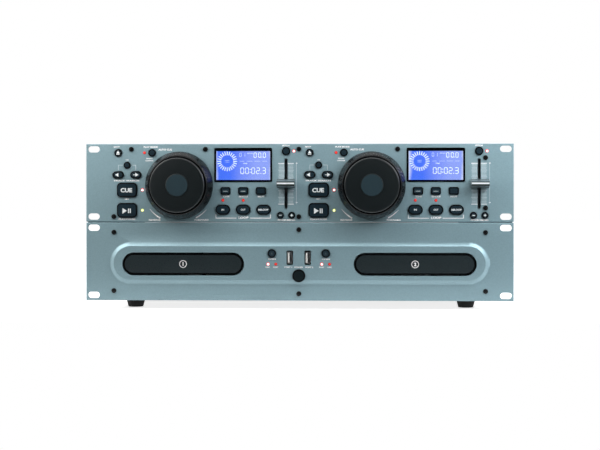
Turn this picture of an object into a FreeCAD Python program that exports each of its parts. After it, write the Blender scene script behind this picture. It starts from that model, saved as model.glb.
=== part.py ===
"""Dual CD player for DJ use: a control unit standing on a disc unit, both 19-inch rack width.

The frame is +Z up and +X to the user's right. The front panels face -Y, and the origin is at the
centre of the foot of the bounding box. Lengths are in millimetres and angles in degrees.
"""

import FreeCAD, Part
import math
import os
import re
from dataclasses import dataclass
import Sketcher

# Driving dimensions: alias, value, what it sets.
SIZES = (
    # Rack panels and cases
    ("panel_width", 482.6, "width of a 19-inch rack panel"),
    ("panel_height", 88.1, "height of a two-unit rack panel"),
    ("panel_thickness", 3.0, "thickness of both front panels"),
    ("panel_gap", 0.8, "gap between the two stacked panels"),
    ("panel_chamfer", 0.6, "chamfer round a panel's front edge"),
    ("panel_drop", 1.5, "how far the lower panel reaches below its chassis"),
    ("rack_slot_x", 232.55, "rack slot centre from the middle of the panel"),
    ("rack_slot_z", 38.1, "rack slot centre above and below the panel's middle"),
    ("rack_slot_length", 13.4, "overall length of a rack slot"),
    ("rack_slot_height", 7.2, "height of a rack slot"),
    ("case_width", 430.0, "width of both cases"),
    ("sheet_thickness", 1.0, "steel sheet of the cases"),
    ("player_depth", 253.0, "front panel face to rear wall of the disc unit"),
    ("control_depth", 75.0, "front panel face to rear wall of the control unit"),
    ("case_height", 84.1, "height of the disc unit's chassis without its cover"),
    ("control_margin", 0.8, "control case inside its panel's edge, above and below"),
    ("cover_lip", 14.0, "how far the top cover's sides are folded down"),
    # Feet
    ("foot_height", 11.5, "height of the rubber feet"),
    ("foot_radius", 10.05, "foot radius where it meets the chassis"),
    ("foot_tip_radius", 7.4, "foot radius at the ground"),
    ("foot_spread", 191.0, "foot centre from the middle, sideways"),
    ("foot_setback", 40.0, "front foot centre behind the front panel"),
    ("foot_rear_margin", 30.0, "rear foot centre ahead of the rear wall"),
    ("pad_radius", 7.0, "rubber pads under the control unit"),
    ("pad_setback", 14.0, "pad centre from the ends of the control case"),
    # Boards and fasteners
    ("board_setback", 18.0, "panel face to the face of the board behind it"),
    ("board_thickness", 1.6, "circuit board thickness"),
    ("switch_size", 6.0, "side of a push switch"),
    ("switch_height", 4.0, "height of a push switch on its board"),
    ("screw_radius", 1.5, "shank of the panel screws"),
    ("screw_head_radius", 2.8, "head of the panel screws"),
    ("screw_head_height", 1.5, "height of a panel screw's head"),
    ("screw_length", 8.5, "shank length of the panel screws"),
    ("screw_hole_radius", 1.6, "panel hole for a screw"),
    ("boss_radius", 2.3, "spacer boss behind the control panel"),
    ("tab_setback", 6.0, "panel face to the fixing tabs of the control case"),
    ("tab_thickness", 1.5, "fixing tabs of the control case"),
    ("tab_reach", 2.8, "tab edge from the centre of its screw"),
    ("screw_row", 38.1, "upper and lower screws of the control panel"),
    ("side_screw_row", 28.2, "right-hand screws of the control panel"),
    ("left_screw_x", -189.9, "upper left screw of the control panel"),
    ("second_screw_x", -105.7, "second upper screw of the control panel"),
    ("third_screw_x", 111.2, "fourth upper screw of the control panel"),
    ("edge_screw_x", 209.7, "outer screws of both panels"),
    ("player_screw_row", 33.1, "outer screws of the lower panel"),
    ("middle_screw_row", 36.1, "middle screws of the lower panel"),
    ("stud_radius", 2.5, "studs that carry the boards behind the panels"),
    ("stud_left_x", -60.0, "left studs of a deck"),
    ("stud_right_x", -4.0, "right studs of a deck"),
    ("stud_upper_row", 10.0, "upper left stud of a deck"),
    ("stud_row", 36.5, "other studs of a deck"),
    ("lamp_radius", 1.5, "indicator lamps"),
    ("lamp_proud", 0.5, "how far a lamp stands out of its panel"),
    ("lamp_hole_radius", 1.55, "panel hole for a lamp"),
    # Keys
    ("key_proud", 1.8, "how far a key stands out of its panel"),
    ("key_travel", 1.0, "press of a key"),
    ("key_clearance", 0.3, "gap round a key in its opening"),
    ("key_flange", 0.8, "key flange beyond its opening's edge"),
    ("flange_thickness", 1.2, "key flange"),
    ("flange_seat", 0.05, "key flange behind its panel at rest"),
    ("key_round", 0.7, "rounding of a key's front edge"),
    ("stem_radius", 1.6, "stem that presses the switch"),
    ("stem_gap", 0.3, "stem to switch when the key is fully pressed"),
    ("round_key", 8.6, "diameter of the eject and mode keys"),
    ("small_key", 7.8, "diameter of the search and bend keys"),
    ("pitch_key", 9.4, "diameter of the pitch key"),
    ("track_key_width", 12.8, "oval track keys"),
    ("track_key_height", 8.2, "oval track keys"),
    ("main_key_width", 22.8, "cue and play keys"),
    ("main_key_height", 16.4, "cue and play keys"),
    ("main_key_corner", 4.5, "cue and play keys"),
    ("display_key_width", 11.2, "keys under the display"),
    ("display_key_height", 8.4, "keys under the display"),
    ("display_key_corner", 1.8, "keys under the display"),
    ("loop_key_width", 16.5, "oval loop keys"),
    ("loop_key_height", 11.2, "oval loop keys"),
    # Layout of one deck's controls, from the deck's centre line and the panel's middle
    ("deck_pitch", 217.0, "distance between the two decks' controls"),
    ("column_x", -86.2, "column of the cue and play keys"),
    ("column_step", 20.1, "distance between the two track keys"),
    ("mode_x", -57.7, "mode key"),
    ("mode_lamp_step", 8.8, "mode lamp left of its key"),
    ("key_lamp_step", 17.4, "cue and play lamps right of their keys"),
    ("top_row", 34.1, "eject and mode keys"),
    ("search_row", 20.1, "search key"),
    ("track_row", 9.1, "track keys"),
    ("cue_row", -8.0, "cue key"),
    ("play_row", -31.0, "play key"),
    ("jog_x", -26.6, "jog wheel"),
    ("jog_row", -2.9, "jog wheel"),
    ("display_x", 45.6, "display and the keys under it"),
    ("display_row", 20.3, "display"),
    ("display_key_step", 20.1, "distance between the keys under the display"),
    ("display_key_row", -9.1, "keys under the display"),
    ("loop_lamp_row", -19.7, "lamps above the loop keys"),
    ("loop_key_step", 23.0, "distance between the loop keys"),
    ("loop_row", -30.3, "loop keys"),
    ("fader_x", 94.1, "pitch fader"),
    ("fader_row", -0.8, "middle of the pitch fader's slot"),
    ("pitch_row", 35.8, "pitch key"),
    ("pitch_lamp_step", 8.8, "pitch lamp right of its key"),
    ("bend_row", -36.6, "pitch bend keys"),
    ("bend_step", 12.8, "distance between the pitch bend keys"),
    # Jog wheel
    ("ring_radius", 38.25, "shuttle ring at its widest"),
    ("ring_rim_height", 8.0, "height of the ring's widest part above the panel"),
    ("ring_height", 20.5, "height of the ring's lip above the panel"),
    ("ring_lip_radius", 33.0, "outer edge of the ring's lip"),
    ("ring_bore_radius", 31.2, "inside of the ring round the dial"),
    ("ring_lift", 0.6, "gap between the ring and the panel"),
    ("ring_floor", 2.4, "thickness of the ring's floor"),
    ("neck_radius", 9.0, "tubular neck of the ring"),
    ("neck_length", 10.0, "end of the neck behind the panel face"),
    ("neck_collar_radius", 12.0, "collar that keeps the ring on the panel"),
    ("neck_collar_thickness", 2.5, "collar that keeps the ring on the panel"),
    ("neck_clearance", 0.3, "neck in its panel hole"),
    ("dial_gap", 0.6, "dial inside the ring"),
    ("dial_height", 25.4, "face of the dial above the panel"),
    ("dial_edge", 2.2, "slope of the dial's front edge"),
    ("dial_wall", 4.0, "wall of the dial's skirt"),
    ("dial_skirt", 5.0, "lower edge of the skirt above the panel"),
    ("dial_centre_radius", 12.7, "raised centre disc of the dial"),
    ("dial_centre_height", 0.6, "raised centre disc of the dial"),
    ("dial_shaft_radius", 6.0, "shaft of the dial"),
    ("dial_shaft_length", 13.2, "end of the dial's shaft behind the panel face"),
    ("shaft_clearance", 0.1, "dial shaft inside the ring's neck"),
    ("encoder_size", 24.0, "side of the jog encoder"),
    ("encoder_gap", 0.3, "shaft end to encoder"),
    # Pitch fader
    ("fader_slot_width", 2.7, "slot in the panel"),
    ("fader_slot_length", 57.0, "slot in the panel"),
    ("fader_travel", 23.0, "knob travel each way"),
    ("knob_width", 20.3, "fader knob"),
    ("knob_height", 9.5, "fader knob"),
    ("knob_proud", 16.0, "fader knob above the panel"),
    ("knob_shoulder", 6.0, "height where the knob starts to narrow"),
    ("knob_top", 5.6, "height of the knob's narrow front face"),
    ("knob_groove", 0.9, "pointer groove across the knob"),
    ("knob_lift", 0.5, "gap between the knob and the heads of the screws beside it"),
    ("lever_width", 1.4, "metal lever of the fader"),
    ("lever_height", 6.0, "metal lever of the fader"),
    ("lever_end", 14.0, "end of the lever behind the panel face"),
    ("track_body_width", 12.0, "body of the slide potentiometer"),
    ("track_body_length", 62.0, "body of the slide potentiometer"),
    ("track_body_depth", 6.5, "body of the slide potentiometer"),
    ("track_groove_depth", 4.0, "groove for the lever"),
    # Display
    ("display_width", 65.4, "black bezel"),
    ("display_height", 38.4, "black bezel"),
    ("display_corner", 1.5, "black bezel"),
    ("display_frame", 2.2, "visible width of the bezel round its window"),
    ("display_proud", 0.6, "bezel above the panel"),
    ("display_recess", 0.9, "window below the panel face"),
    ("display_window", 1.0, "thickness of the window"),
    ("display_cell", 5.0, "thickness of the liquid crystal cell"),
    ("display_clearance", 0.1, "bezel in its opening"),
    # Disc unit's front
    ("relief_width", 429.8, "raised platform of the lower panel"),
    ("relief_top", 22.9, "upper edge of the platform's foot"),
    ("relief_bottom", -26.4, "lower edge of the platform's foot"),
    ("relief_shoulder", 5.4, "width of the platform's shoulder"),
    ("relief_height", 3.0, "height of the platform"),
    ("relief_round", 1.4, "rounding of the platform's shoulder"),
    ("tray_x", 130.7, "tray centre from the middle of the panel"),
    ("tray_row", -2.7, "tray centre above the panel's middle"),
    ("tray_opening_width", 138.0, "tray opening"),
    ("tray_opening_height", 25.9, "tray opening"),
    ("open_key", 9.5, "diameter of the open and close keys"),
    ("open_key_x", 30.35, "open and close keys"),
    ("open_key_row", 9.4, "open and close keys"),
    ("power_key", 14.3, "diameter of the power key"),
    ("power_row", -15.8, "power key"),
    ("player_lamp_row", -2.7, "lamps beside the trays"),
    ("player_lamp_x", 30.25, "middle of a pair of lamps"),
    ("player_lamp_step", 8.8, "distance between the two lamps of a pair"),
    ("port_x", 10.1, "USB socket from the middle of the panel"),
    ("port_row", 4.5, "USB sockets"),
    ("port_opening_width", 7.4, "panel opening of a USB socket"),
    ("port_opening_height", 16.4, "panel opening of a USB socket"),
    ("port_width", 5.7, "shell of a USB socket"),
    ("port_height", 13.1, "shell of a USB socket"),
    ("port_wall", 0.5, "shell of a USB socket"),
    ("port_recess", 0.6, "socket below the platform's face"),
    ("port_tongue", 1.8, "tongue inside a USB socket"),
    ("front_board_width", 84.0, "board behind the middle of the lower panel"),
    ("front_board_height", 50.0, "board behind the middle of the lower panel"),
    # Disc trays
    ("cap_gap", 1.2, "gap round a tray's front cap"),
    ("cap_thickness", 4.0, "front cap"),
    ("cap_proud", 0.3, "front cap beyond the platform"),
    ("cap_round", 1.0, "rounding of the cap's front edge"),
    ("drawer_width", 129.0, "disc tray"),
    ("drawer_margin", 2.3, "disc tray behind the end of its rack"),
    ("drawer_thickness", 10.0, "disc tray"),
    ("well_radius", 60.75, "recess for a 12 cm disc"),
    ("well_depth", 5.0, "recess for a 12 cm disc"),
    ("small_well_radius", 40.75, "recess for an 8 cm disc"),
    ("small_well_depth", 1.0, "recess for an 8 cm disc"),
    ("disc_setback", 72.0, "disc centre behind the panel face, tray closed"),
    ("window_width", 38.0, "pickup window in the tray"),
    ("window_length", 64.0, "pickup window in the tray"),
    ("window_corner", 16.0, "pickup window in the tray"),
    ("runner_width", 2.0, "runner on each side of the tray"),
    ("runner_height", 2.5, "runner on each side of the tray"),
    ("runner_level", 3.5, "underside of the runner above the tray's underside"),
    ("runner_gap", 0.3, "runner in its groove"),
    ("tray_travel", 135.0, "opening travel of a tray"),
    # Tray drive: a pinion on a pin and a rack under the tray
    ("gear_module", 1.5, "module of the rack and pinion"),
    ("pinion_teeth", 12, "teeth of the pinion"),
    ("tooth_backlash", 0.35, "how much thinner each tooth is than half the pitch"),
    ("rack_x", 46.0, "pitch line of the rack from the tray's centre"),
    ("rack_body", 3.0, "width of the rack behind its teeth"),
    ("rack_depth", 4.2, "height of the rack under the tray"),
    ("tooth_flank", 20.0, "pressure angle of the rack"),
    ("pinion_root", 1.25, "half thickness of a pinion tooth at its root"),
    ("pinion_tip", 0.45, "half thickness of a pinion tooth at its tip"),
    ("pinion_setback", 22.0, "pinion centre behind the panel face"),
    ("pinion_clearance", 0.4, "pinion below the tray"),
    ("wheel_radius", 14.0, "driven wheel under the pinion"),
    ("wheel_thickness", 4.0, "driven wheel under the pinion"),
    ("wheel_drop", 3.0, "wheel below the pinion's teeth"),
    ("hub_radius", 5.0, "hub between the pinion and its wheel"),
    ("pin_radius", 2.0, "pin of the pinion"),
    ("pin_clearance", 0.05, "pinion on its pin"),
    # Disc drives
    ("drive_margin", 4.0, "drive frame behind a closed tray"),
    ("drive_setback", 9.0, "front of the drive frame behind the panel face"),
    ("rail_gap", 1.0, "tray to the side rails"),
    ("rail_thickness", 5.0, "side rails"),
    ("rail_rise", 10.0, "side rails above the tray"),
    ("drive_floor", 2.5, "floor of the drive frame"),
    ("drive_standoff", 9.5, "drive floor above the chassis floor"),
    ("standoff_radius", 4.0, "posts under the drive frame"),
    ("bridge_width", 44.0, "clamp bridge, front to back"),
    ("bridge_thickness", 2.5, "clamp bridge"),
    ("clamp_radius", 15.0, "disc clamp"),
    ("clamp_thickness", 2.2, "disc clamp"),
    ("turntable_radius", 14.5, "disc spindle"),
    ("turntable_thickness", 2.5, "disc spindle"),
    ("cone_radius", 7.4, "centring cone, for a 15 mm disc hole"),
    ("cone_height", 1.8, "centring cone"),
    ("spindle_gap", 0.9, "spindle below the tray, tray free to move"),
    ("spindle_shaft_radius", 1.5, "spindle shaft"),
    ("motor_radius", 12.0, "spindle motor"),
    ("motor_height", 9.0, "spindle motor"),
    ("pickup_base_width", 46.0, "pickup base"),
    ("pickup_base_length", 104.0, "pickup base"),
    ("pickup_base_thickness", 1.6, "pickup base"),
    ("loading_motor_radius", 9.0, "loading motor"),
    ("loading_motor_height", 16.0, "loading motor"),
    ("loading_motor_gap", 4.0, "loading motor to the driven wheel"),
    ("guide_radius", 1.5, "guide rods of the pickup"),
    ("guide_x", 17.0, "guide rods of the pickup"),
    ("guide_rise", 3.0, "guide rods above the pickup base"),
    ("guide_block", 6.0, "blocks that hold the guide rods"),
    ("pickup_width", 40.0, "pickup"),
    ("pickup_length", 28.0, "pickup"),
    ("pickup_height", 7.0, "pickup"),
    ("pickup_gap", 8.0, "pickup behind the spindle motor"),
    ("lens_radius", 4.0, "lens of the pickup"),
    ("lens_height", 1.5, "lens of the pickup"),
    # Rear of the cases
    ("main_board_depth", 60.0, "main board, front to back"),
    ("main_board_rise", 8.0, "main board above the chassis floor"),
    ("jack_length", 9.0, "phono jack beyond the rear wall"),
    ("jack_radius", 4.15, "phono jack"),
    ("jack_bore_radius", 1.6, "phono jack's centre contact"),
    ("jack_flange_radius", 5.6, "phono jack's flange"),
    ("jack_flange_thickness", 1.2, "phono jack's flange"),
    ("jack_step", 16.0, "distance between phono jacks"),
    ("jack_rise", 24.0, "phono jacks above the chassis floor"),
    ("link_radius", 7.0, "remote link socket"),
    ("link_bore_radius", 4.6, "remote link socket"),
    ("link_proud", 1.5, "remote link socket beyond its rear wall"),
    ("link_depth", 12.0, "remote link socket"),
    ("start_radius", 4.0, "fader start jack"),
    ("start_bore_radius", 1.8, "fader start jack"),
    ("inlet_x", -178.0, "mains inlet"),
    ("inlet_width", 28.0, "mains inlet body"),
    ("inlet_height", 20.4, "mains inlet body"),
    ("inlet_wall", 1.8, "mains inlet body"),
    ("inlet_depth", 22.0, "mains inlet body"),
    ("inlet_flange", 3.0, "mains inlet flange beyond its body"),
    ("inlet_proud", 2.5, "mains inlet beyond the rear wall"),
    ("inlet_pin_width", 2.0, "mains inlet pins"),
    ("inlet_pin_height", 4.0, "mains inlet pins"),
    ("inlet_pin_step", 7.0, "mains inlet pins"),
    ("inlet_pin_length", 14.0, "mains inlet pins"),
    ("inlet_floor", 4.0, "floor of the mains inlet behind its pins"),
    ("inlet_rise", 22.0, "mains inlet above the chassis floor"),
    ("jack_x", 84.0, "middle of a deck's pair of phono jacks"),
    ("digital_x", 34.0, "digital output from the middle of the pair"),
    ("start_x", 52.0, "fader start jack from the middle of the pair"),
    ("link_x", 18.0, "remote link sockets"),
    ("board_rear_gap", 3.0, "main board to the rear wall"),
    ("board_side_gap", 8.0, "main board to the side walls"),
    ("transformer_width", 58.0, "mains transformer"),
    ("transformer_depth", 46.0, "mains transformer"),
    ("transformer_height", 42.0, "mains transformer"),
    ("transformer_x", -100.0, "mains transformer"),
    ("capacitor_radius", 8.0, "smoothing capacitors"),
    ("capacitor_height", 25.0, "smoothing capacitors"),
    ("capacitor_x", -52.0, "first smoothing capacitor"),
    ("capacitor_step", 20.0, "distance between the smoothing capacitors"),
    ("chip_size", 16.0, "processor chips"),
    ("chip_height", 2.5, "processor chips"),
    ("vent_length", 60.0, "vents in the top cover"),
    ("vent_width", 3.0, "vents in the top cover"),
    ("vent_step", 8.0, "distance between vents"),
    ("vent_x", 120.0, "vents in the top cover"),
)

DECKS = {"a": -0.5, "b": 0.5}
ALIASES = {name for name, _, _ in SIZES}
MAX_FILES = 60

# Places worked out from the driving dimensions, as expressions.
FRONT = "((dial_height + dial_centre_height - player_depth - jack_length) / 2)"
CHASSIS_BOTTOM = "foot_height"
CHASSIS_FLOOR = "(foot_height + sheet_thickness)"
COVER_TOP = "(foot_height + case_height + sheet_thickness)"
PLAYER_ROW = "(foot_height - panel_drop + panel_height / 2)"
CONTROL_ROW = "(foot_height - panel_drop + panel_height * 1.5 + panel_gap)"
CONTROL_BOTTOM = f"({CONTROL_ROW} - panel_height / 2 + control_margin)"
CONTROL_HEIGHT = "(panel_height - 2 * control_margin)"
DISPLAY_WINDOW_WIDTH = "(display_width - 2 * display_frame)"
DISPLAY_WINDOW_HEIGHT = "(display_height - 2 * display_frame)"
TRAY_BOTTOM = f"({PLAYER_ROW} + tray_row - drawer_thickness / 2)"
CAP_FRONT = "(-relief_height - cap_proud)"
CAP_BACK = "(cap_thickness - relief_height - cap_proud)"
DRIVE_BOTTOM = f"({CHASSIS_FLOOR} + drive_standoff)"
DRIVE_FLOOR = f"({DRIVE_BOTTOM} + drive_floor)"
RAIL_TOP = f"({TRAY_BOTTOM} + drawer_thickness + rail_rise)"
RAIL_INSIDE = "(drawer_width / 2 + rail_gap)"
GEAR_PITCH = "(gear_module * pi)"
PINION_RADIUS = "(gear_module * pinion_teeth / 2)"
PINION_X = f"(rack_x - {PINION_RADIUS})"
RACK_START = f"(pinion_setback - 2 * {GEAR_PITCH})"
RACK_TEETH = f"(ceil(tray_travel / {GEAR_PITCH}) + 3)"
RACK_LENGTH = f"({RACK_TEETH} * {GEAR_PITCH})"
DRAWER_END = f"({RACK_START} + {RACK_LENGTH} + drawer_margin)"
DRIVE_END = f"({DRAWER_END} + drive_margin)"
DRIVE_WIDTH = f"(2 * ({RAIL_INSIDE} + rail_thickness))"
ADDENDUM = "gear_module"
DEDENDUM = "(1.25 * gear_module)"
TOOTH_HALF = f"({GEAR_PITCH} / 4 - tooth_backlash / 2)"
REAR = f"({FRONT} + player_depth)"
CONTROL_REAR = f"({FRONT} + control_depth)"
PLAYER_FACE = "(-relief_height)"
CAP_WIDTH = "(tray_opening_width - 2 * cap_gap)"
CAP_HEIGHT = "(tray_opening_height - 2 * cap_gap)"
SPINDLE_TOP = f"({TRAY_BOTTOM} - spindle_gap)"
PICKUP_LEVEL = f"({DRIVE_FLOOR} + pickup_base_thickness)"
MAIN_BOARD_TOP = f"({CHASSIS_FLOOR} + main_board_rise + board_thickness)"
JACK_ROW = f"({CHASSIS_FLOOR} + jack_rise)"
KNOB_UNDERSIDE = "(screw_head_height + knob_lift)"
INLET_ROW = f"({CHASSIS_FLOOR} + inlet_rise)"

document = FreeCAD.newDocument("dual_cd_player")
sheet = document.addObject("Spreadsheet::Sheet", "dims")
NORMAL = FreeCAD.Vector(0, 0, 1)
TURNS = {
    "z": FreeCAD.Rotation(),
    "y": FreeCAD.Rotation(FreeCAD.Vector(1, 0, 0), -90),
    "x": FreeCAD.Rotation(FreeCAD.Vector(0, 1, 0), 90),
}
nodes = []


def fill_sheet():
    """Write every driving dimension into the sheet, with its alias and its meaning."""
    for row, (alias, number, meaning) in enumerate(SIZES, start=1):
        sheet.set(f"A{row}", alias)
        sheet.set(f"B{row}", str(number))
        sheet.set(f"C{row}", meaning)
        sheet.setAlias(f"B{row}", alias)
    document.recompute()


def bound(expression):
    """Return the expression with each size's alias pointing into the sheet."""
    return re.sub(r"[a-z_]+", lambda word: f"dims.{word[0]}" if word[0] in ALIASES else word[0], expression)


def value(expression):
    """Return the number that an expression gives with the sheet's present sizes."""
    return float(sheet.evalExpression(bound(expression)))


def bind(item, **properties):
    """Bind properties of an object to expressions of the sheet's sizes."""
    for name, expression in properties.items():
        item.setExpression(name, bound(expression))


def place(item, x="0", y="0", z="0"):
    """Bind the place of an object to expressions of the sheet's sizes."""
    for axis, expression in zip("xyz", (x, y, z)):
        item.setExpression(f"Placement.Base.{axis}", bound(expression))


def deck_x(deck, offset="0"):
    """Return the x of something on one deck's controls."""
    return f"({DECKS[deck]} * deck_pitch + ({offset}))"


def tray_x(deck, offset="0"):
    """Return the x of something on one disc drive; drive b is the same way round as drive a."""
    return f"({2 * DECKS[deck]} * tray_x + ({offset}))"


class Section:
    """A sketch on one of a body's own origin planes, swept between two levels of that plane.

    Levels run along +Y on XZ, +Z on XY and +X on YZ. Every size in it is bound to the sheet.
    """

    def __init__(self, body, plane, start, end):
        self.plane = plane
        self.start = start
        self.end = end
        self.sketch = body.newObject("Sketcher::SketchObject", "profile")
        origin_plane = next(item for item in body.Origin.OriginFeatures if item.Role == f"{plane}_Plane")
        self.sketch.AttachmentSupport = [(origin_plane, "")]
        self.sketch.MapMode = "FlatFace"

    def lift(self, level):
        """Move the sketch to a level; the XZ plane's own normal is -Y."""
        sign = "-" if self.plane == "XZ" else ""
        self.sketch.setExpression("AttachmentOffset.Base.z", bound(f"{sign}({level})"))

    def dimension(self, kind, references, expression):
        """Add one dimensional constraint and bind it."""
        constraint = Sketcher.Constraint(kind, *references, value(expression))
        index = self.sketch.addConstraint(constraint)
        self.sketch.setExpression(f"Constraints[{index}]", bound(expression))

    def locate(self, geometry, point, x, y):
        """Fix a point of the geometry from the sketch's origin."""
        self.dimension("DistanceX", (-1, 1, geometry, point), x)
        self.dimension("DistanceY", (-1, 1, geometry, point), y)

    def circle(self, x, y, radius):
        """Draw a circle."""
        centre = FreeCAD.Vector(value(x), value(y), 0)
        circle = self.sketch.addGeometry(Part.Circle(centre, NORMAL, value(radius)))
        self.locate(circle, 3, x, y)
        self.dimension("Radius", (circle,), radius)

    def polygon(self, points):
        """Draw a closed outline through points given as pairs of expressions."""
        corners = [FreeCAD.Vector(value(x), value(y), 0) for x, y in points]
        edges = [Part.LineSegment(a, b) for a, b in zip(corners, corners[1:] + corners[:1])]
        lines = self.sketch.addGeometry(edges)
        for line, following, (x, y) in zip(lines, lines[1:] + lines[:1], points):
            self.sketch.addConstraint(Sketcher.Constraint("Coincident", line, 2, following, 1))
            self.locate(line, 1, x, y)

    def rectangle(self, x, y, width, height):
        """Draw a rectangle centred on (x, y)."""
        left, right = f"({x}) - ({width}) / 2", f"({x}) + ({width}) / 2"
        low, high = f"({y}) - ({height}) / 2", f"({y}) + ({height}) / 2"
        self.polygon(((left, low), (right, low), (right, high), (left, high)))

    def rounded(self, x, y, width, height, corner):
        """Draw a rectangle with four equal round corners, centred on (x, y)."""
        half_width, half_height, radius = value(width) / 2, value(height) / 2, value(corner)
        middle = FreeCAD.Vector(value(x), value(y), 0)
        edges = []
        for quarter in range(4):
            turn = FreeCAD.Rotation(NORMAL, 90 * quarter)
            half_run, reach = (half_width, half_height) if quarter % 2 == 0 else (half_height, half_width)
            start = turn.multVec(FreeCAD.Vector(radius - half_run, -reach, 0))
            end = turn.multVec(FreeCAD.Vector(half_run - radius, -reach, 0))
            pivot = turn.multVec(FreeCAD.Vector(half_run - radius, radius - reach, 0))
            edges.append(Part.LineSegment(middle + start, middle + end))
            quadrant = Part.Circle(middle + pivot, NORMAL, radius)
            first = math.radians(90 * (quarter - 1))
            edges.append(Part.ArcOfCircle(quadrant, first, first + math.pi / 2))
        parts = self.sketch.addGeometry(edges)
        rules = [Sketcher.Constraint("Tangent", a, 2, b, 1) for a, b in zip(parts, parts[1:] + parts[:1])]
        rules += [Sketcher.Constraint("Horizontal", parts[index]) for index in (0, 4)]
        rules += [Sketcher.Constraint("Vertical", parts[index]) for index in (2, 6)]
        rules += [Sketcher.Constraint("Equal", parts[1], parts[index]) for index in (3, 5, 7)]
        self.sketch.addConstraint(rules)
        self.dimension("Radius", (parts[1],), corner)
        self.dimension("DistanceX", (-1, 1, parts[6], 1), f"({x}) - ({width}) / 2")
        self.dimension("DistanceX", (-1, 1, parts[2], 1), f"({x}) + ({width}) / 2")
        self.dimension("DistanceY", (-1, 1, parts[0], 1), f"({y}) - ({height}) / 2")
        self.dimension("DistanceY", (-1, 1, parts[4], 1), f"({y}) + ({height}) / 2")

    def stadium(self, x, y, width, height):
        """Draw a slot with full-round ends, longer in x or in y, centred on (x, y)."""
        upright = value(height) > value(width)
        length, radius = (height, f"({width}) / 2") if upright else (width, f"({height}) / 2")
        half_run, reach = value(length) / 2 - value(radius), value(radius)
        middle = FreeCAD.Vector(value(x), value(y), 0)
        turn = FreeCAD.Rotation(NORMAL, 90 if upright else 0)
        edges = []
        for side in (1, -1):
            start = turn.multVec(FreeCAD.Vector(-side * half_run, -side * reach, 0))
            end = turn.multVec(FreeCAD.Vector(side * half_run, -side * reach, 0))
            edges.append(Part.LineSegment(middle + start, middle + end))
            pivot = middle + turn.multVec(FreeCAD.Vector(side * half_run, 0, 0))
            first = math.radians((90 if upright else 0) + (-90 if side > 0 else 90))
            edges.append(Part.ArcOfCircle(Part.Circle(pivot, NORMAL, reach), first, first + math.pi))
        parts = self.sketch.addGeometry(edges)
        rules = [Sketcher.Constraint("Tangent", a, 2, b, 1) for a, b in zip(parts, parts[1:] + parts[:1])]
        direction = "Vertical" if upright else "Horizontal"
        rules += [Sketcher.Constraint(direction, parts[index]) for index in (0, 2)]
        self.sketch.addConstraint(rules)
        self.dimension("Radius", (parts[1],), radius)
        offset = f"(({length}) / 2 - ({radius}))"
        far = (x, f"({y}) + {offset}") if upright else (f"({x}) + {offset}", y)
        near = (x, f"({y}) - {offset}") if upright else (f"({x}) - {offset}", y)
        self.locate(parts[1], 3, *far)
        self.dimension(*(("DistanceY", (-1, 1, parts[3], 3), near[1]) if upright
                         else ("DistanceX", (-1, 1, parts[3], 3), near[0])))


@dataclass(frozen=True)
class Form:
    """The outline of a key and of its opening: a disc, a full-round slot or a rounded rectangle."""

    width: str
    height: str
    corner: str = ""

    def is_round(self):
        """Return whether the outline is a disc."""
        return not self.corner and self.width == self.height

    def draw(self, section, x, y, grow="0"):
        """Draw the outline centred on (x, y), grown outwards by an expression."""
        width, height = f"({self.width} + 2 * ({grow}))", f"({self.height} + 2 * ({grow}))"
        if self.corner:
            section.rounded(x, y, width, height, f"({self.corner} + ({grow}))")
        elif self.is_round():
            section.circle(x, y, f"{width} / 2")
        else:
            section.stadium(x, y, width, height)


class Piece:
    """One PartDesign body, placed from the sheet."""

    def __init__(self, name, x="0", y="0", z="0"):
        self.body = document.addObject("PartDesign::Body", name)
        self.body.Label = name
        place(self.body, x, y, z)

    def section(self, plane, start, end):
        """Start a sketch on a plane of the body, for material or a cut from start to end."""
        return Section(self.body, plane, start, end)

    def add(self, section, taper="0"):
        """Sweep the section's sketch into material, widening or narrowing by the taper angle."""
        section.lift(section.start)
        pad = self.body.newObject("PartDesign::Pad", "pad")
        pad.Profile = section.sketch
        pad.Refine = False
        pad.Reversed = section.plane == "XZ"
        bind(pad, Length=f"({section.end}) - ({section.start})", TaperAngle=taper)
        return pad

    def cut(self, section):
        """Cut the section's sketch out of the body."""
        section.lift(section.start if section.plane == "XZ" else section.end)
        pocket = self.body.newObject("PartDesign::Pocket", "pocket")
        pocket.Profile = section.sketch
        pocket.Refine = False
        bind(pocket, Length=f"({section.end}) - ({section.start})")

    def turn(self, section, axis):
        """Turn the section's sketch a full circle round the sketch's V or H axis."""
        section.lift(section.start)
        revolution = self.body.newObject("PartDesign::Revolution", "revolution")
        revolution.Profile = section.sketch
        revolution.ReferenceAxis = (section.sketch, [f"{axis}_Axis"])

    def soften(self, kind, axis, level, size, keep=lambda edge: True):
        """Fillet or chamfer the edges that lie in one plane of the body; axis is 0, 1 or 2."""
        document.recompute()
        base = self.body.Tip
        names = edges_in_plane(base.Shape, axis, value(level), keep)
        feature = self.body.newObject(f"PartDesign::{kind}", kind.lower())
        feature.Base = (base, names)
        bind(feature, **{"Radius" if kind == "Fillet" else "Size": size})

    def finish(self):
        """Keep the body as a node of its own."""
        nodes.append(self.body)


def edges_in_plane(shape, axis, level, keep):
    """Return the names of the edges that lie wholly at one level of an axis."""
    names = []
    for index, edge in enumerate(shape.Edges, start=1):
        box = edge.BoundBox
        low = (box.XMin, box.YMin, box.ZMin)[axis]
        high = (box.XMax, box.YMax, box.ZMax)[axis]
        if abs(low - level) < 1e-4 and abs(high - level) < 1e-4 and keep(edge):
            names.append(f"Edge{index}")
    return names


def block(x, y, z, width, depth, height):
    """Return a box centred on x that starts at y and z."""
    box = document.addObject("Part::Box", "block")
    bind(box, Length=width, Width=depth, Height=height)
    place(box, f"({x}) - ({width}) / 2", y, z)
    return box


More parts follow.
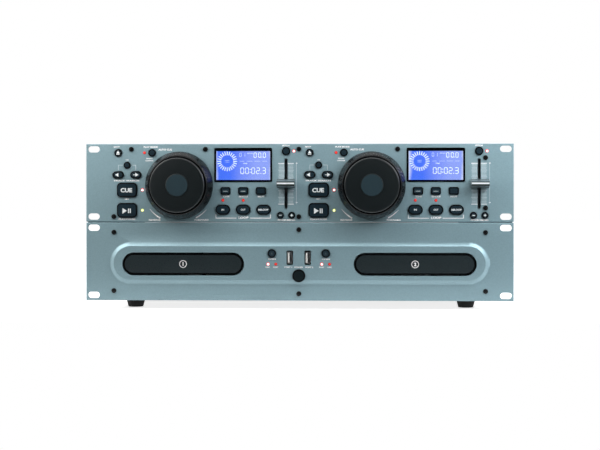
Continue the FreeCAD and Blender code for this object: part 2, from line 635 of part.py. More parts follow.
def rod(along, x, y, z, radius, length):
    """Return a cylinder that starts at a point and runs along +X, +Y or +Z."""
    cylinder = document.addObject("Part::Cylinder", "rod")
    bind(cylinder, Radius=radius, Height=length)
    cylinder.Placement.Rotation = TURNS[along]
    place(cylinder, x, y, z)
    return cylinder


def without(base, *tools):
    """Return the base with the tools cut out of it."""
    result = base
    for tool in tools:
        cut = document.addObject("Part::Cut", "cut")
        cut.Base = result
        cut.Tool = tool
        result = cut
    return result


def joined(*shapes):
    """Return one solid fused from several that touch."""
    fuse = document.addObject("Part::MultiFuse", "joined")
    fuse.Shapes = list(shapes)
    return fuse


def group(name, solids):
    """Keep several separate solids as one node."""
    compound = document.addObject("Part::Compound", name)
    compound.Label = name
    compound.Links = list(solids)
    nodes.append(compound)


ROUND = Form("round_key", "round_key")
SMALL = Form("small_key", "small_key")
PITCH = Form("pitch_key", "pitch_key")
TRACK = Form("track_key_width", "track_key_height")
MAIN = Form("main_key_width", "main_key_height", "main_key_corner")
DISPLAY = Form("display_key_width", "display_key_height", "display_key_corner")
LOOP = Form("loop_key_width", "loop_key_height")
OPEN = Form("open_key", "open_key")
POWER = Form("power_key", "power_key")
BEZEL = Form("display_width", "display_height", "display_corner")
PORT = Form("port_opening_width", "port_opening_height", "port_width / 4")
TRAY = Form("tray_opening_width", "tray_opening_height")

# Keys of one deck: name, form, x from the deck's centre line, z from the panel's middle.
DECK_KEYS = (
    ("eject_key", ROUND, "column_x - column_step / 2", "top_row"),
    ("mode_key", ROUND, "mode_x", "top_row"),
    ("search_key", SMALL, "column_x", "search_row"),
    ("track_back_key", TRACK, "column_x - column_step / 2", "track_row"),
    ("track_next_key", TRACK, "column_x + column_step / 2", "track_row"),
    ("cue_key", MAIN, "column_x", "cue_row"),
    ("play_key", MAIN, "column_x", "play_row"),
    ("time_key", DISPLAY, "display_x - display_key_step", "display_key_row"),
    ("single_key", DISPLAY, "display_x", "display_key_row"),
    ("relay_key", DISPLAY, "display_x + display_key_step", "display_key_row"),
    ("loop_in_key", LOOP, "display_x - loop_key_step", "loop_row"),
    ("loop_out_key", LOOP, "display_x", "loop_row"),
    ("reloop_key", LOOP, "display_x + loop_key_step", "loop_row"),
    ("pitch_key", PITCH, "fader_x", "pitch_row"),
    ("bend_down_key", SMALL, "fader_x - bend_step / 2", "bend_row"),
    ("bend_up_key", SMALL, "fader_x + bend_step / 2", "bend_row"),
)
DECK_LAMPS = (
    ("mode_x - mode_lamp_step", "top_row"),
    ("column_x + key_lamp_step", "cue_row"),
    ("column_x + key_lamp_step", "play_row"),
    ("display_x - loop_key_step", "loop_lamp_row"),
    ("display_x", "loop_lamp_row"),
    ("fader_x + pitch_lamp_step", "pitch_row"),
)
DECK_STUDS = (
    ("stud_left_x", "stud_upper_row"),
    ("stud_left_x", "-stud_row"),
    ("stud_right_x", "stud_row"),
    ("stud_right_x", "-stud_row"),
)
# Screws of the control panel, each with the wall of the case that its tab comes from.
CONTROL_SCREWS = (
    ("left_screw_x", "screw_row", "top"),
    ("second_screw_x", "screw_row", "top"),
    ("0", "screw_row", "top"),
    ("third_screw_x", "screw_row", "top"),
    ("-edge_screw_x", "-screw_row", "bottom"),
    ("0", "-screw_row", "bottom"),
    ("edge_screw_x", "side_screw_row", "right"),
    ("edge_screw_x", "-side_screw_row", "right"),
)
PLAYER_SCREWS = (
    ("-edge_screw_x", "player_screw_row"),
    ("edge_screw_x", "player_screw_row"),
    ("-edge_screw_x", "-player_screw_row"),
    ("edge_screw_x", "-player_screw_row"),
    ("0", "middle_screw_row"),
    ("0", "-middle_screw_row"),
)
PLAYER_KEYS = {
    "open_key_a": (OPEN, "-open_key_x", "open_key_row"),
    "open_key_b": (OPEN, "open_key_x", "open_key_row"),
    "power_key": (POWER, "0", "power_row"),
}
PLAYER_LAMPS = [(f"{side} * player_lamp_x + {half} * player_lamp_step", "player_lamp_row")
                for side in (-1, 1) for half in (-0.5, 0.5)]


def behind(depth):
    """Return the y of something at a depth behind the front panels' faces."""
    return f"({FRONT} + ({depth}))"


def plate_with_slots(name, row):
    """Return a rack panel with its four mounting slots and a chamfered front edge."""
    panel = Piece(name, y=FRONT, z=row)
    outline = panel.section("XZ", "0", "panel_thickness")
    outline.rectangle("0", "0", "panel_width", "panel_height")
    panel.add(outline)
    panel.soften("Chamfer", 1, "0", "panel_chamfer")
    for side in ("-", ""):
        for level in ("-", ""):
            slot = panel.section("XZ", "0", "panel_thickness")
            slot.stadium(f"{side}rack_slot_x", f"{level}rack_slot_z", "rack_slot_length", "rack_slot_height")
            panel.cut(slot)
    return panel


def cut_form(panel, form, x, z, face="0", grow="key_clearance"):
    """Cut one opening through a panel, from its face."""
    opening = panel.section("XZ", face, "panel_thickness")
    form.draw(opening, x, z, grow)
    panel.cut(opening)


def cut_holes(panel, holes, face="0"):
    """Drill round holes, each given as x, z and radius, through a panel from its face."""
    section = panel.section("XZ", face, "panel_thickness")
    for x, z, radius in holes:
        section.circle(x, z, radius)
    panel.cut(section)


def make_control_front_panel():
    """The upper panel, with the openings of both decks' controls."""
    panel = plate_with_slots("controller_front_panel", CONTROL_ROW)
    holes = [(x, z, "screw_hole_radius") for x, z, _ in CONTROL_SCREWS]
    for deck in DECKS:
        for _, form, x, z in DECK_KEYS:
            if form.is_round():
                holes.append((deck_x(deck, x), z, f"{form.width} / 2 + key_clearance"))
            else:
                cut_form(panel, form, deck_x(deck, x), z)
        cut_form(panel, BEZEL, deck_x(deck, "display_x"), "display_row", grow="display_clearance")
        slot = panel.section("XZ", "0", "panel_thickness")
        slot.stadium(deck_x(deck, "fader_x"), "fader_row", "fader_slot_width", "fader_slot_length")
        panel.cut(slot)
        holes.append((deck_x(deck, "jog_x"), "jog_row", "neck_radius + neck_clearance"))
        holes += [(deck_x(deck, x), z, "lamp_hole_radius") for x, z in DECK_LAMPS]
    cut_holes(panel, holes)
    panel.finish()


def make_player_front_panel():
    """The lower panel: a plate with a raised platform round both trays."""
    panel = plate_with_slots("player_front_panel", PLAYER_ROW)
    platform = panel.section("XZ", "-relief_height", "0")
    platform.stadium("0", "(relief_top + relief_bottom) / 2", "relief_width - 2 * relief_shoulder",
                     "relief_top - relief_bottom - 2 * relief_shoulder")
    panel.add(platform, taper="atan(relief_shoulder / relief_height)")
    panel.soften("Fillet", 1, "-relief_height", "relief_round")
    for side in ("-", ""):
        cut_form(panel, TRAY, f"{side}tray_x", "tray_row", PLAYER_FACE, "0")
        cut_form(panel, PORT, f"{side}port_x", "port_row", PLAYER_FACE, "0")
    holes = [(x, z, f"{form.width} / 2 + key_clearance") for form, x, z in PLAYER_KEYS.values()]
    holes += [(x, z, "lamp_hole_radius") for x, z in PLAYER_LAMPS]
    holes += [(x, z, "screw_hole_radius") for x, z in PLAYER_SCREWS]
    cut_holes(panel, holes, PLAYER_FACE)
    panel.finish()


def make_key(name, form, x, z, face="0"):
    """A key: a cap that stands out of its panel, a flange behind the panel and a stem."""
    key = Piece(name, x, FRONT, z)
    flange_start = "panel_thickness + flange_seat"
    cap = key.section("XZ", f"{face} - key_proud", flange_start)
    form.draw(cap, "0", "0")
    key.add(cap)
    key.soften("Fillet", 1, f"{face} - key_proud", "key_round")
    flange = key.section("XZ", flange_start, f"{flange_start} + flange_thickness")
    form.draw(flange, "0", "0", "key_clearance + key_flange")
    key.add(flange)
    stem_end = "board_setback - switch_height - key_travel - stem_gap"
    stem = key.section("XZ", f"{flange_start} + flange_thickness", stem_end)
    stem.circle("0", "0", "stem_radius")
    key.add(stem)
    key.finish()


def make_keys():
    """All keys of both decks and of the disc unit."""
    for deck in DECKS:
        for name, form, x, z in DECK_KEYS:
            make_key(f"{name}_{deck}", form, deck_x(deck, x), f"{CONTROL_ROW} + ({z})")
    for name, (form, x, z) in PLAYER_KEYS.items():
        make_key(name, form, x, f"{PLAYER_ROW} + ({z})", PLAYER_FACE)


def make_shuttle_ring(deck):
    """The spring-centred ring round the jog dial, turned round its tubular neck."""
    ring = Piece(f"shuttle_ring_{deck}", deck_x(deck, "jog_x"), FRONT, f"{CONTROL_ROW} + jog_row")
    half = ring.section("XY", "0", "0")
    bore = "dial_shaft_radius + shaft_clearance"
    floor = "-ring_lift - ring_floor"
    half.polygon((
        (bore, floor),
        ("ring_bore_radius", floor),
        ("ring_bore_radius", "-ring_height"),
        ("ring_lip_radius", "-ring_height"),
        ("ring_radius", "-ring_rim_height"),
        ("ring_radius", "-ring_lift"),
        ("neck_radius", "-ring_lift"),
        ("neck_radius", "neck_length - neck_collar_thickness"),
        ("neck_collar_radius", "neck_length - neck_collar_thickness"),
        ("neck_collar_radius", "neck_length"),
        (bore, "neck_length"),
    ))
    ring.turn(half, "V")
    ring.finish()


def make_jog_dial(deck):
    """The jog dial: a skirted disc on a shaft that runs through the ring's neck."""
    dial = Piece(f"jog_dial_{deck}", deck_x(deck, "jog_x"), FRONT, f"{CONTROL_ROW} + jog_row")
    half = dial.section("XY", "0", "0")
    radius = "ring_bore_radius - dial_gap"
    half.polygon((
        ("0", "-dial_height - dial_centre_height"),
        ("dial_centre_radius", "-dial_height - dial_centre_height"),
        ("dial_centre_radius", "-dial_height"),
        (f"{radius} - dial_edge", "-dial_height"),
        (radius, "-dial_height + dial_edge"),
        (radius, "-dial_skirt"),
        (f"{radius} - dial_wall", "-dial_skirt"),
        (f"{radius} - dial_wall", "-dial_height + dial_wall"),
        ("dial_shaft_radius", "-dial_height + dial_wall"),
        ("dial_shaft_radius", "dial_shaft_length"),
        ("0", "dial_shaft_length"),
    ))
    dial.turn(half, "V")
    dial.finish()


def make_fader_knob(deck):
    """The pitch fader's knob, with the metal lever that reaches into the fader behind the panel."""
    knob = Piece(f"pitch_fader_knob_{deck}", deck_x(deck, "fader_x"), FRONT, f"{CONTROL_ROW} + fader_row")
    side = knob.section("YZ", "-knob_width / 2", "knob_width / 2")
    side.polygon((
        (f"-{KNOB_UNDERSIDE}", "-knob_height / 2"),
        (f"-{KNOB_UNDERSIDE}", "knob_height / 2"),
        ("-knob_shoulder", "knob_height / 2"),
        ("-knob_proud", "knob_top / 2"),
        ("-knob_proud", "knob_groove / 2"),
        ("-knob_proud + knob_groove", "knob_groove / 2"),
        ("-knob_proud + knob_groove", "-knob_groove / 2"),
        ("-knob_proud", "-knob_groove / 2"),
        ("-knob_proud", "-knob_top / 2"),
        ("-knob_shoulder", "-knob_height / 2"),
    ))
    knob.add(side)
    lever = knob.section("XZ", f"-{KNOB_UNDERSIDE}", "lever_end")
    lever.rectangle("0", "0", "lever_width", "lever_height")
    knob.add(lever)
    knob.finish()


def make_display(deck):
    """One display: a black bezel, its window, the liquid crystal cell and the holder on the board."""
    x, row = deck_x(deck, "display_x"), f"{CONTROL_ROW} + display_row"
    bezel = Piece(f"display_bezel_{deck}", x, FRONT, row)
    rim = bezel.section("XZ", "-display_proud", "panel_thickness")
    BEZEL.draw(rim, "0", "0")
    bezel.add(rim)
    flange = bezel.section("XZ", "panel_thickness", "panel_thickness + flange_thickness")
    BEZEL.draw(flange, "0", "0", "flange_thickness")
    bezel.add(flange)
    opening = bezel.section("XZ", "-display_proud", "panel_thickness + flange_thickness")
    opening.rectangle("0", "0", DISPLAY_WINDOW_WIDTH, DISPLAY_WINDOW_HEIGHT)
    bezel.cut(opening)
    low = f"{row} - {DISPLAY_WINDOW_HEIGHT} / 2"
    cell_start = "display_recess + display_window"
    cell_end = f"({cell_start} + display_cell)"
    window = block(x, behind("display_recess"), low, DISPLAY_WINDOW_WIDTH, "display_window", DISPLAY_WINDOW_HEIGHT)
    cell = block(x, behind(cell_start), low, DISPLAY_WINDOW_WIDTH, "display_cell", DISPLAY_WINDOW_HEIGHT)
    holder = block(x, behind(cell_end), low, DISPLAY_WINDOW_WIDTH, f"board_setback - {cell_end}",
                   DISPLAY_WINDOW_HEIGHT)
    return [bezel.body, window, cell, holder]


def make_displays():
    """Both display modules."""
    group("display_modules", [solid for deck in DECKS for solid in make_display(deck)])


def make_lamps():
    """Every indicator lamp, each a light pipe from its panel to the board behind."""
    lamps = []
    for deck in DECKS:
        for x, z in DECK_LAMPS:
            lamps.append(rod("y", deck_x(deck, x), behind("-lamp_proud"), f"{CONTROL_ROW} + ({z})",
                             "lamp_radius", "board_setback + lamp_proud"))
    for x, z in PLAYER_LAMPS:
        lamps.append(rod("y", x, behind(f"{PLAYER_FACE} - lamp_proud"), f"{PLAYER_ROW} + ({z})",
                         "lamp_radius", "board_setback + relief_height + lamp_proud"))
    group("indicator_lamps", lamps)


def make_screw(x, z):
    """One panel screw: a flat head on the panel and a shank through it."""
    head = rod("y", x, behind("-screw_head_height"), z, "screw_head_radius", "screw_head_height")
    shank = rod("y", x, behind("0"), z, "screw_radius", "screw_length")
    return joined(head, shank)


def make_screws():
    """The screws of both panels."""
    screws = [make_screw(x, f"{CONTROL_ROW} + ({z})") for x, z, _ in CONTROL_SCREWS]
    screws += [make_screw(x, f"{PLAYER_ROW} + ({z})") for x, z in PLAYER_SCREWS]
    group("panel_screws", screws)


def screw_tab(x, z, wall):
    """A fixing tab of the control case, from one of its walls, with the spacer boss in front of it."""
    centre = f"({CONTROL_ROW} + ({z}))"
    inside_half = f"({CONTROL_HEIGHT} / 2 - sheet_thickness)"
    if wall == "right":
        width = f"(case_width / 2 - sheet_thickness + tab_reach - ({x}))"
        tab = block(f"({x}) - tab_reach + {width} / 2", behind("tab_setback"), f"{centre} - tab_reach",
                    width, "tab_thickness", "2 * tab_reach")
    else:
        height = f"({inside_half} + tab_reach - abs({z}))"
        low = f"{centre} - tab_reach" if wall == "top" else f"({CONTROL_ROW} - {inside_half})"
        tab = block(x, behind("tab_setback"), low, "2 * tab_reach", "tab_thickness", height)
    boss = rod("y", x, behind("panel_thickness"), centre, "boss_radius", "tab_setback - panel_thickness")
    bore = rod("y", x, behind("panel_thickness"), centre, "screw_hole_radius",
               "tab_setback + tab_thickness - panel_thickness")
    return tab, boss, bore


def make_control_housing():
    """The control unit's sheet steel case, open towards its front panel."""
    inside_width, inside_height = "(case_width - 2 * sheet_thickness)", f"({CONTROL_HEIGHT} - 2 * sheet_thickness)"
    depth = "(control_depth - panel_thickness)"
    outer = block("0", behind("panel_thickness"), CONTROL_BOTTOM, "case_width", depth, CONTROL_HEIGHT)
    inner = block("0", behind("panel_thickness"), f"{CONTROL_BOTTOM} + sheet_thickness", inside_width,
                  f"{depth} - sheet_thickness", inside_height)
    holes = [rod("y", f"{side}link_x", f"{CONTROL_REAR} - sheet_thickness", CONTROL_ROW, "link_radius",
                 "sheet_thickness")
             for side in ("-", "")]
    tabs, bosses, bores = zip(*(screw_tab(*screw) for screw in CONTROL_SCREWS))
    case = without(outer, inner, *holes)
    group("controller_housing", [without(joined(case, *tabs, *bosses), *bores)])


def make_stud(x, z, row):
    """One stud from the back of a panel to the board behind it."""
    return rod("y", x, behind("panel_thickness"), f"{row} + ({z})", "stud_radius", "board_setback - panel_thickness")


def make_switch(x, z):
    """One push switch on the face of a board."""
    return block(x, behind("board_setback - switch_height"), f"({z}) - switch_size / 2", "switch_size",
                 "switch_height", "switch_size")


def make_control_board():
    """Return the control unit's board, studs, switches, jog encoders and slide potentiometers."""
    width, height = "(case_width - 2 * board_side_gap)", f"({CONTROL_HEIGHT} - 8 * sheet_thickness)"
    solids = [block("0", behind("board_setback"), f"{CONTROL_ROW} - {height} / 2", width, "board_thickness", height)]
    for deck in DECKS:
        solids += [make_stud(deck_x(deck, x), z, CONTROL_ROW) for x, z in DECK_STUDS]
        solids += [make_switch(deck_x(deck, x), f"{CONTROL_ROW} + ({z})") for _, _, x, z in DECK_KEYS]
        encoder_start = "dial_shaft_length + encoder_gap"
        solids.append(block(deck_x(deck, "jog_x"), behind(encoder_start),
                            f"{CONTROL_ROW} + jog_row - encoder_size / 2", "encoder_size",
                            f"board_setback - ({encoder_start})", "encoder_size"))
        track = block(deck_x(deck, "fader_x"), behind("board_setback - track_body_depth"),
                      f"{CONTROL_ROW} + fader_row - track_body_length / 2", "track_body_width",
                      "track_body_depth", "track_body_length")
        groove_length = "(2 * fader_travel + lever_height + 2 * lever_width)"
        groove = block(deck_x(deck, "fader_x"), behind("board_setback - track_body_depth"),
                       f"{CONTROL_ROW} + fader_row - {groove_length} / 2", "2 * lever_width",
                       "track_groove_depth", groove_length)
        solids.append(without(track, groove))
    return solids


def rear_sockets():
    """Return the places of the rear sockets: phono jacks, fader start jacks and link sockets."""
    jacks = [f"{2 * DECKS[deck]} * jack_x + ({offset})" for deck in DECKS
             for offset in ("-jack_step / 2", "jack_step / 2", "digital_x")]
    starts = [f"{2 * DECKS[deck]} * jack_x + start_x" for deck in DECKS]
    links = ["-link_x", "link_x"]
    return jacks, starts, links


def make_chassis():
    """The disc unit's chassis: floor, sides and rear wall, with two rails behind the front panel."""
    depth = "(player_depth - panel_thickness)"
    outer = block("0", behind("panel_thickness"), CHASSIS_BOTTOM, "case_width", depth, "case_height")
    inner = block("0", behind("panel_thickness"), CHASSIS_FLOOR, "case_width - 2 * sheet_thickness",
                  f"{depth} - sheet_thickness", "case_height")
    lower_top = f"({PLAYER_ROW} - player_screw_row + tab_reach)"
    upper_low = f"({PLAYER_ROW} + player_screw_row - tab_reach)"
    chassis_top = "(foot_height + case_height)"
    rails = [block("0", behind("panel_thickness"), low, "case_width - 2 * sheet_thickness", "tab_thickness", height)
             for low, height in ((CHASSIS_FLOOR, f"{lower_top} - {CHASSIS_FLOOR}"),
                                 (upper_low, f"{chassis_top} - {upper_low}"))]
    bores = [rod("y", x, behind("panel_thickness"), f"{PLAYER_ROW} + ({z})", "screw_hole_radius", "tab_thickness")
             for x, z in PLAYER_SCREWS]
    wall = f"({REAR} - sheet_thickness)"
    jacks, starts, links = rear_sockets()
    for places, radius in ((jacks, "jack_radius"), (starts, "start_radius"), (links, "link_radius")):
        bores += [rod("y", x, wall, JACK_ROW, radius, "sheet_thickness") for x in places]
    inlet_hole = block("inlet_x", wall, f"{INLET_ROW} - inlet_height / 2", "inlet_width", "sheet_thickness",
                       "inlet_height")
    case = joined(without(outer, inner), *rails)
    group("player_chassis", [without(case, *bores, inlet_hole)])


def make_top_cover():
    """The disc unit's top cover: a sheet with folded sides and two rows of vents."""
    depth, width = "(player_depth - panel_thickness)", "(case_width + 2 * sheet_thickness)"
    outer = block("0", behind("panel_thickness"), f"{COVER_TOP} - cover_lip", width, depth, "cover_lip")
    inner = block("0", behind("panel_thickness"), f"{COVER_TOP} - cover_lip", "case_width", depth,
                  "cover_lip - sheet_thickness")
    vents = [block(f"{side} * vent_x", f"{REAR} - {number} * vent_step", f"{COVER_TOP} - sheet_thickness",
                   "vent_length", "vent_width", "sheet_thickness")
             for side in (-1, 1) for number in range(3, 9)]
    group("player_top_cover", [without(outer, inner, *vents)])


def make_feet():
    """Four tapered rubber feet under the disc unit and four pads under the control unit."""
    solids = []
    for side in ("-", ""):
        for y in (behind("foot_setback"), f"{REAR} - foot_rear_margin"):
            foot = document.addObject("Part::Cone", "foot")
            bind(foot, Radius1="foot_tip_radius", Radius2="foot_radius", Height="foot_height")
            place(foot, f"{side}foot_spread", y)
            solids.append(foot)
        for y in (behind("panel_thickness + pad_setback"), f"{CONTROL_REAR} - pad_setback"):
            solids.append(rod("z", f"{side}foot_spread", y, COVER_TOP, "pad_radius", f"{CONTROL_BOTTOM} - {COVER_TOP}"))
    group("rubber_feet", solids)


def make_tray(deck):
    """A disc tray: a drawer with its disc recess, runners and rack, and the cap on its front."""
    x = tray_x(deck)
    drawer = Piece(f"drawer_{deck}", x, FRONT, TRAY_BOTTOM)
    length, middle = f"({DRAWER_END} - {CAP_BACK})", f"(({DRAWER_END} + {CAP_BACK}) / 2)"
    plate = drawer.section("XY", "0", "drawer_thickness")
    plate.rectangle("0", middle, "drawer_width", length)
    drawer.add(plate)
    runners = drawer.section("XY", "runner_level", "runner_level + runner_height")
    runners.rectangle("0", middle, "drawer_width + 2 * runner_width", length)
    drawer.add(runners)
    well_floor = "(drawer_thickness - well_depth)"
    well = drawer.section("XY", well_floor, "drawer_thickness")
    well.circle("0", "disc_setback", "well_radius")
    drawer.cut(well)
    small_well = drawer.section("XY", f"{well_floor} - small_well_depth", well_floor)
    small_well.circle("0", "disc_setback", "small_well_radius")
    drawer.cut(small_well)
    window = drawer.section("XY", "0", well_floor)
    window.rounded("0", "disc_setback + (window_length - window_width) / 2", "window_width", "window_length",
                   "window_corner")
    drawer.cut(window)
    bar = drawer.section("XY", "-rack_depth", "0")
    bar_inside = f"(rack_x + {DEDENDUM})"
    bar.rectangle(f"{bar_inside} + rack_body / 2", f"{RACK_START} + {RACK_LENGTH} / 2", "rack_body", RACK_LENGTH)
    drawer.add(bar)
    tooth = drawer.section("XY", "-rack_depth", "0")
    centre = f"({RACK_START} + {GEAR_PITCH} / 2)"
    tip_half = f"({TOOTH_HALF} - {ADDENDUM} * tan(tooth_flank))"
    root_half = f"({TOOTH_HALF} + {DEDENDUM} * tan(tooth_flank))"
    tooth.polygon(((bar_inside, f"{centre} - {root_half}"), (bar_inside, f"{centre} + {root_half}"),
                   (f"rack_x - {ADDENDUM}", f"{centre} + {tip_half}"),
                   (f"rack_x - {ADDENDUM}", f"{centre} - {tip_half}")))
    repeat(drawer, drawer.add(tooth), "LinearPattern", "Direction", "V_Axis", RACK_TEETH,
           Length=f"({RACK_TEETH} - 1) * {GEAR_PITCH}")
    cap = Piece(f"cap_{deck}", x, FRONT, f"{PLAYER_ROW} + tray_row")
    front = cap.section("XZ", CAP_FRONT, CAP_BACK)
    front.stadium("0", "0", CAP_WIDTH, CAP_HEIGHT)
    cap.add(front)
    cap.soften("Fillet", 1, CAP_FRONT, "cap_round")
    group(f"disc_tray_{deck}", [drawer.body, cap.body])


def repeat(piece, feature, kind, reference, axis, count, **sizes):
    """Repeat a feature of a body in a row or a circle, and make the pattern the body's tip."""
    document.recompute()
    pattern = piece.body.newObject(f"PartDesign::{kind}", "pattern")
    pattern.Originals = [feature]
    setattr(pattern, reference, (feature.Profile[0], [axis]))
    bind(pattern, Occurrences=count, **sizes)
    piece.body.Tip = pattern


def make_pinion(deck):
    """The pinion that drives a tray's rack, on a driven wheel; it turns on a pin of the drive frame."""
    pinion = Piece(f"tray_pinion_{deck}", tray_x(deck, PINION_X), behind("pinion_setback"), TRAY_BOTTOM)
    tooth_low, tooth_high = "(-rack_depth)", "(-pinion_clearance)"
    wheel_top = f"({tooth_low} - wheel_drop)"
    root_radius = f"({PINION_RADIUS} - {DEDENDUM})"
    wheel = pinion.section("XY", f"{wheel_top} - wheel_thickness", wheel_top)
    wheel.circle("0", "0", "wheel_radius")
    pinion.add(wheel)
    hub = pinion.section("XY", wheel_top, tooth_low)
    hub.circle("0", "0", "hub_radius")
    pinion.add(hub)
    core = pinion.section("XY", tooth_low, tooth_high)
    core.circle("0", "0", root_radius)
    pinion.add(core)
    tooth = pinion.section("XY", tooth_low, tooth_high)
    base = f"({root_radius} * 0.9)"
    tip = f"({PINION_RADIUS} + {ADDENDUM})"
    tooth.polygon(((base, "-pinion_root"), (root_radius, "-pinion_root"), (PINION_RADIUS, f"-{TOOTH_HALF}"),
                   (tip, "-pinion_tip"), (tip, "pinion_tip"), (PINION_RADIUS, TOOTH_HALF),
                   (root_radius, "pinion_root"), (base, "pinion_root")))
    repeat(pinion, pinion.add(tooth), "PolarPattern", "Axis", "N_Axis", "pinion_teeth")
    bore = pinion.section("XY", f"{wheel_top} - wheel_thickness", tooth_high)
    bore.circle("0", "0", "pin_radius + pin_clearance")
    pinion.cut(bore)
    pinion.finish()


def make_spindle(deck):
    """The disc spindle, lowered clear of the tray: motor shaft, turntable and centring cone."""
    x, y = tray_x(deck), behind("disc_setback")
    motor_top = f"({PICKUP_LEVEL} + motor_height)"
    table_low = f"({SPINDLE_TOP} - cone_height - turntable_thickness)"
    shaft_low = f"({motor_top} + stem_gap)"
    shaft = rod("z", x, y, shaft_low, "spindle_shaft_radius", f"{table_low} - {shaft_low}")
    table = rod("z", x, y, table_low, "turntable_radius", "turntable_thickness")
    cone = document.addObject("Part::Cone", "cone")
    bind(cone, Radius1="cone_radius", Radius2="cone_radius - cone_height / 2", Height="cone_height")
    place(cone, x, y, f"{table_low} + turntable_thickness")
    group(f"disc_spindle_{deck}", [joined(shaft, table, cone)])


def make_drive_frame(deck):
    """Return one drive's floor, the posts under it, its pinion pin, its side rails and its clamp bridge."""
    x, start, length = tray_x(deck), behind("drive_setback"), f"({DRIVE_END} - drive_setback)"
    floor = block(x, start, DRIVE_BOTTOM, DRIVE_WIDTH, length, "drive_floor")
    hole = block(x, behind("disc_setback - pickup_base_width / 2 + spindle_shaft_radius"), DRIVE_BOTTOM,
                 "pickup_base_width - 2 * spindle_shaft_radius", "pickup_base_length - 2 * spindle_shaft_radius",
                 "drive_floor")
    solids = []
    for side in (-1, 1):
        rail_middle = f"({x} + {side} * ({RAIL_INSIDE} + rail_thickness / 2))"
        rail = block(rail_middle, start, DRIVE_FLOOR, "rail_thickness", length, f"{RAIL_TOP} - {DRIVE_FLOOR}")
        depth = "(runner_width - rail_gap + runner_gap)"
        groove = block(f"{x} + {side} * ({RAIL_INSIDE} + {depth} / 2)", start,
                       f"{TRAY_BOTTOM} + runner_level - runner_gap", depth, length, "runner_height + 2 * runner_gap")
        solids.append(without(rail, groove))
    bridge_low = f"({RAIL_TOP} - bridge_thickness)"
    bridge = block(x, behind("disc_setback - bridge_width / 2"), bridge_low, f"2 * {RAIL_INSIDE}", "bridge_width",
                   "bridge_thickness")
    neck_hole = rod("z", x, behind("disc_setback"), bridge_low, "clamp_radius / 2", "bridge_thickness")
    posts = [rod("z", f"{x} + {side} * ({RAIL_INSIDE} - standoff_radius)", y, CHASSIS_FLOOR, "standoff_radius",
                 "drive_standoff")
             for side in (-1, 1) for y in (behind("drive_setback + 2 * standoff_radius"),
                                           behind(f"{DRIVE_END} - 2 * standoff_radius"))]
    pin_x, pin_y = tray_x(deck, PINION_X), behind("pinion_setback")
    shoulder_top = f"({TRAY_BOTTOM} - rack_depth - wheel_drop - wheel_thickness - flange_seat)"
    shoulder = rod("z", pin_x, pin_y, DRIVE_FLOOR, "2 * pin_radius", f"{shoulder_top} - {DRIVE_FLOOR}")
    pin = rod("z", pin_x, pin_y, DRIVE_FLOOR, "pin_radius", f"{TRAY_BOTTOM} - pinion_clearance - {DRIVE_FLOOR}")
    return [without(floor, hole), *posts, joined(shoulder, pin), *solids, without(bridge, neck_hole)]


def make_drive_fittings(deck):
    """Return what a drive frame carries: clamp, spindle motor, pickup on its guides, loading motor."""
    x, y = tray_x(deck), behind("disc_setback")
    clamp_top = f"({RAIL_TOP} - bridge_thickness - stem_gap)"
    clamp = joined(rod("z", x, y, f"{clamp_top} - clamp_thickness", "clamp_radius", "clamp_thickness"),
                   rod("z", x, y, clamp_top, "clamp_radius / 3", "bridge_thickness + stem_gap"),
                   rod("z", x, y, RAIL_TOP, "clamp_radius * 0.7", "sheet_thickness"))
    base_start = behind("disc_setback - pickup_base_width / 2")
    base = block(x, base_start, DRIVE_FLOOR, "pickup_base_width", "pickup_base_length", "pickup_base_thickness")
    motor = rod("z", x, y, PICKUP_LEVEL, "motor_radius", "motor_height")
    guides_start = behind("disc_setback + motor_radius")
    guides_end = f"({base_start} + pickup_base_length)"
    holders, guides = [], []
    for side in (-1, 1):
        guide_x = f"({x} + {side} * guide_x)"
        guides.append(rod("y", guide_x, f"{guides_start} + guide_block", f"{PICKUP_LEVEL} + guide_rise",
                          "guide_radius", f"{guides_end} - {guides_start} - 2 * guide_block"))
        for end in (guides_start, f"{guides_end} - guide_block"):
            holders.append(block(guide_x, end, PICKUP_LEVEL, "guide_block", "guide_block",
                                 "guide_rise + 2 * guide_radius"))
    sled_low = f"({PICKUP_LEVEL} + guide_rise + guide_radius)"
    sled_start = f"({guides_start} + guide_block + pickup_gap)"
    sled = joined(block(x, sled_start, sled_low, "pickup_width", "pickup_length", "pickup_height"),
                  rod("z", x, f"{sled_start} + pickup_length / 2", f"{sled_low} + pickup_height", "lens_radius",
                      "lens_height"))
    motor_x = f"{x} + {PINION_X} - wheel_radius - loading_motor_radius - loading_motor_gap"
    loader = rod("z", motor_x, behind("pinion_setback"), DRIVE_FLOOR, "loading_motor_radius", "loading_motor_height")
    return [clamp, joined(base, *holders), motor, *guides, sled, loader]


def make_drive(deck):
    """One disc drive, with all that stands still in it."""
    group(f"disc_drive_{deck}", make_drive_frame(deck) + make_drive_fittings(deck))


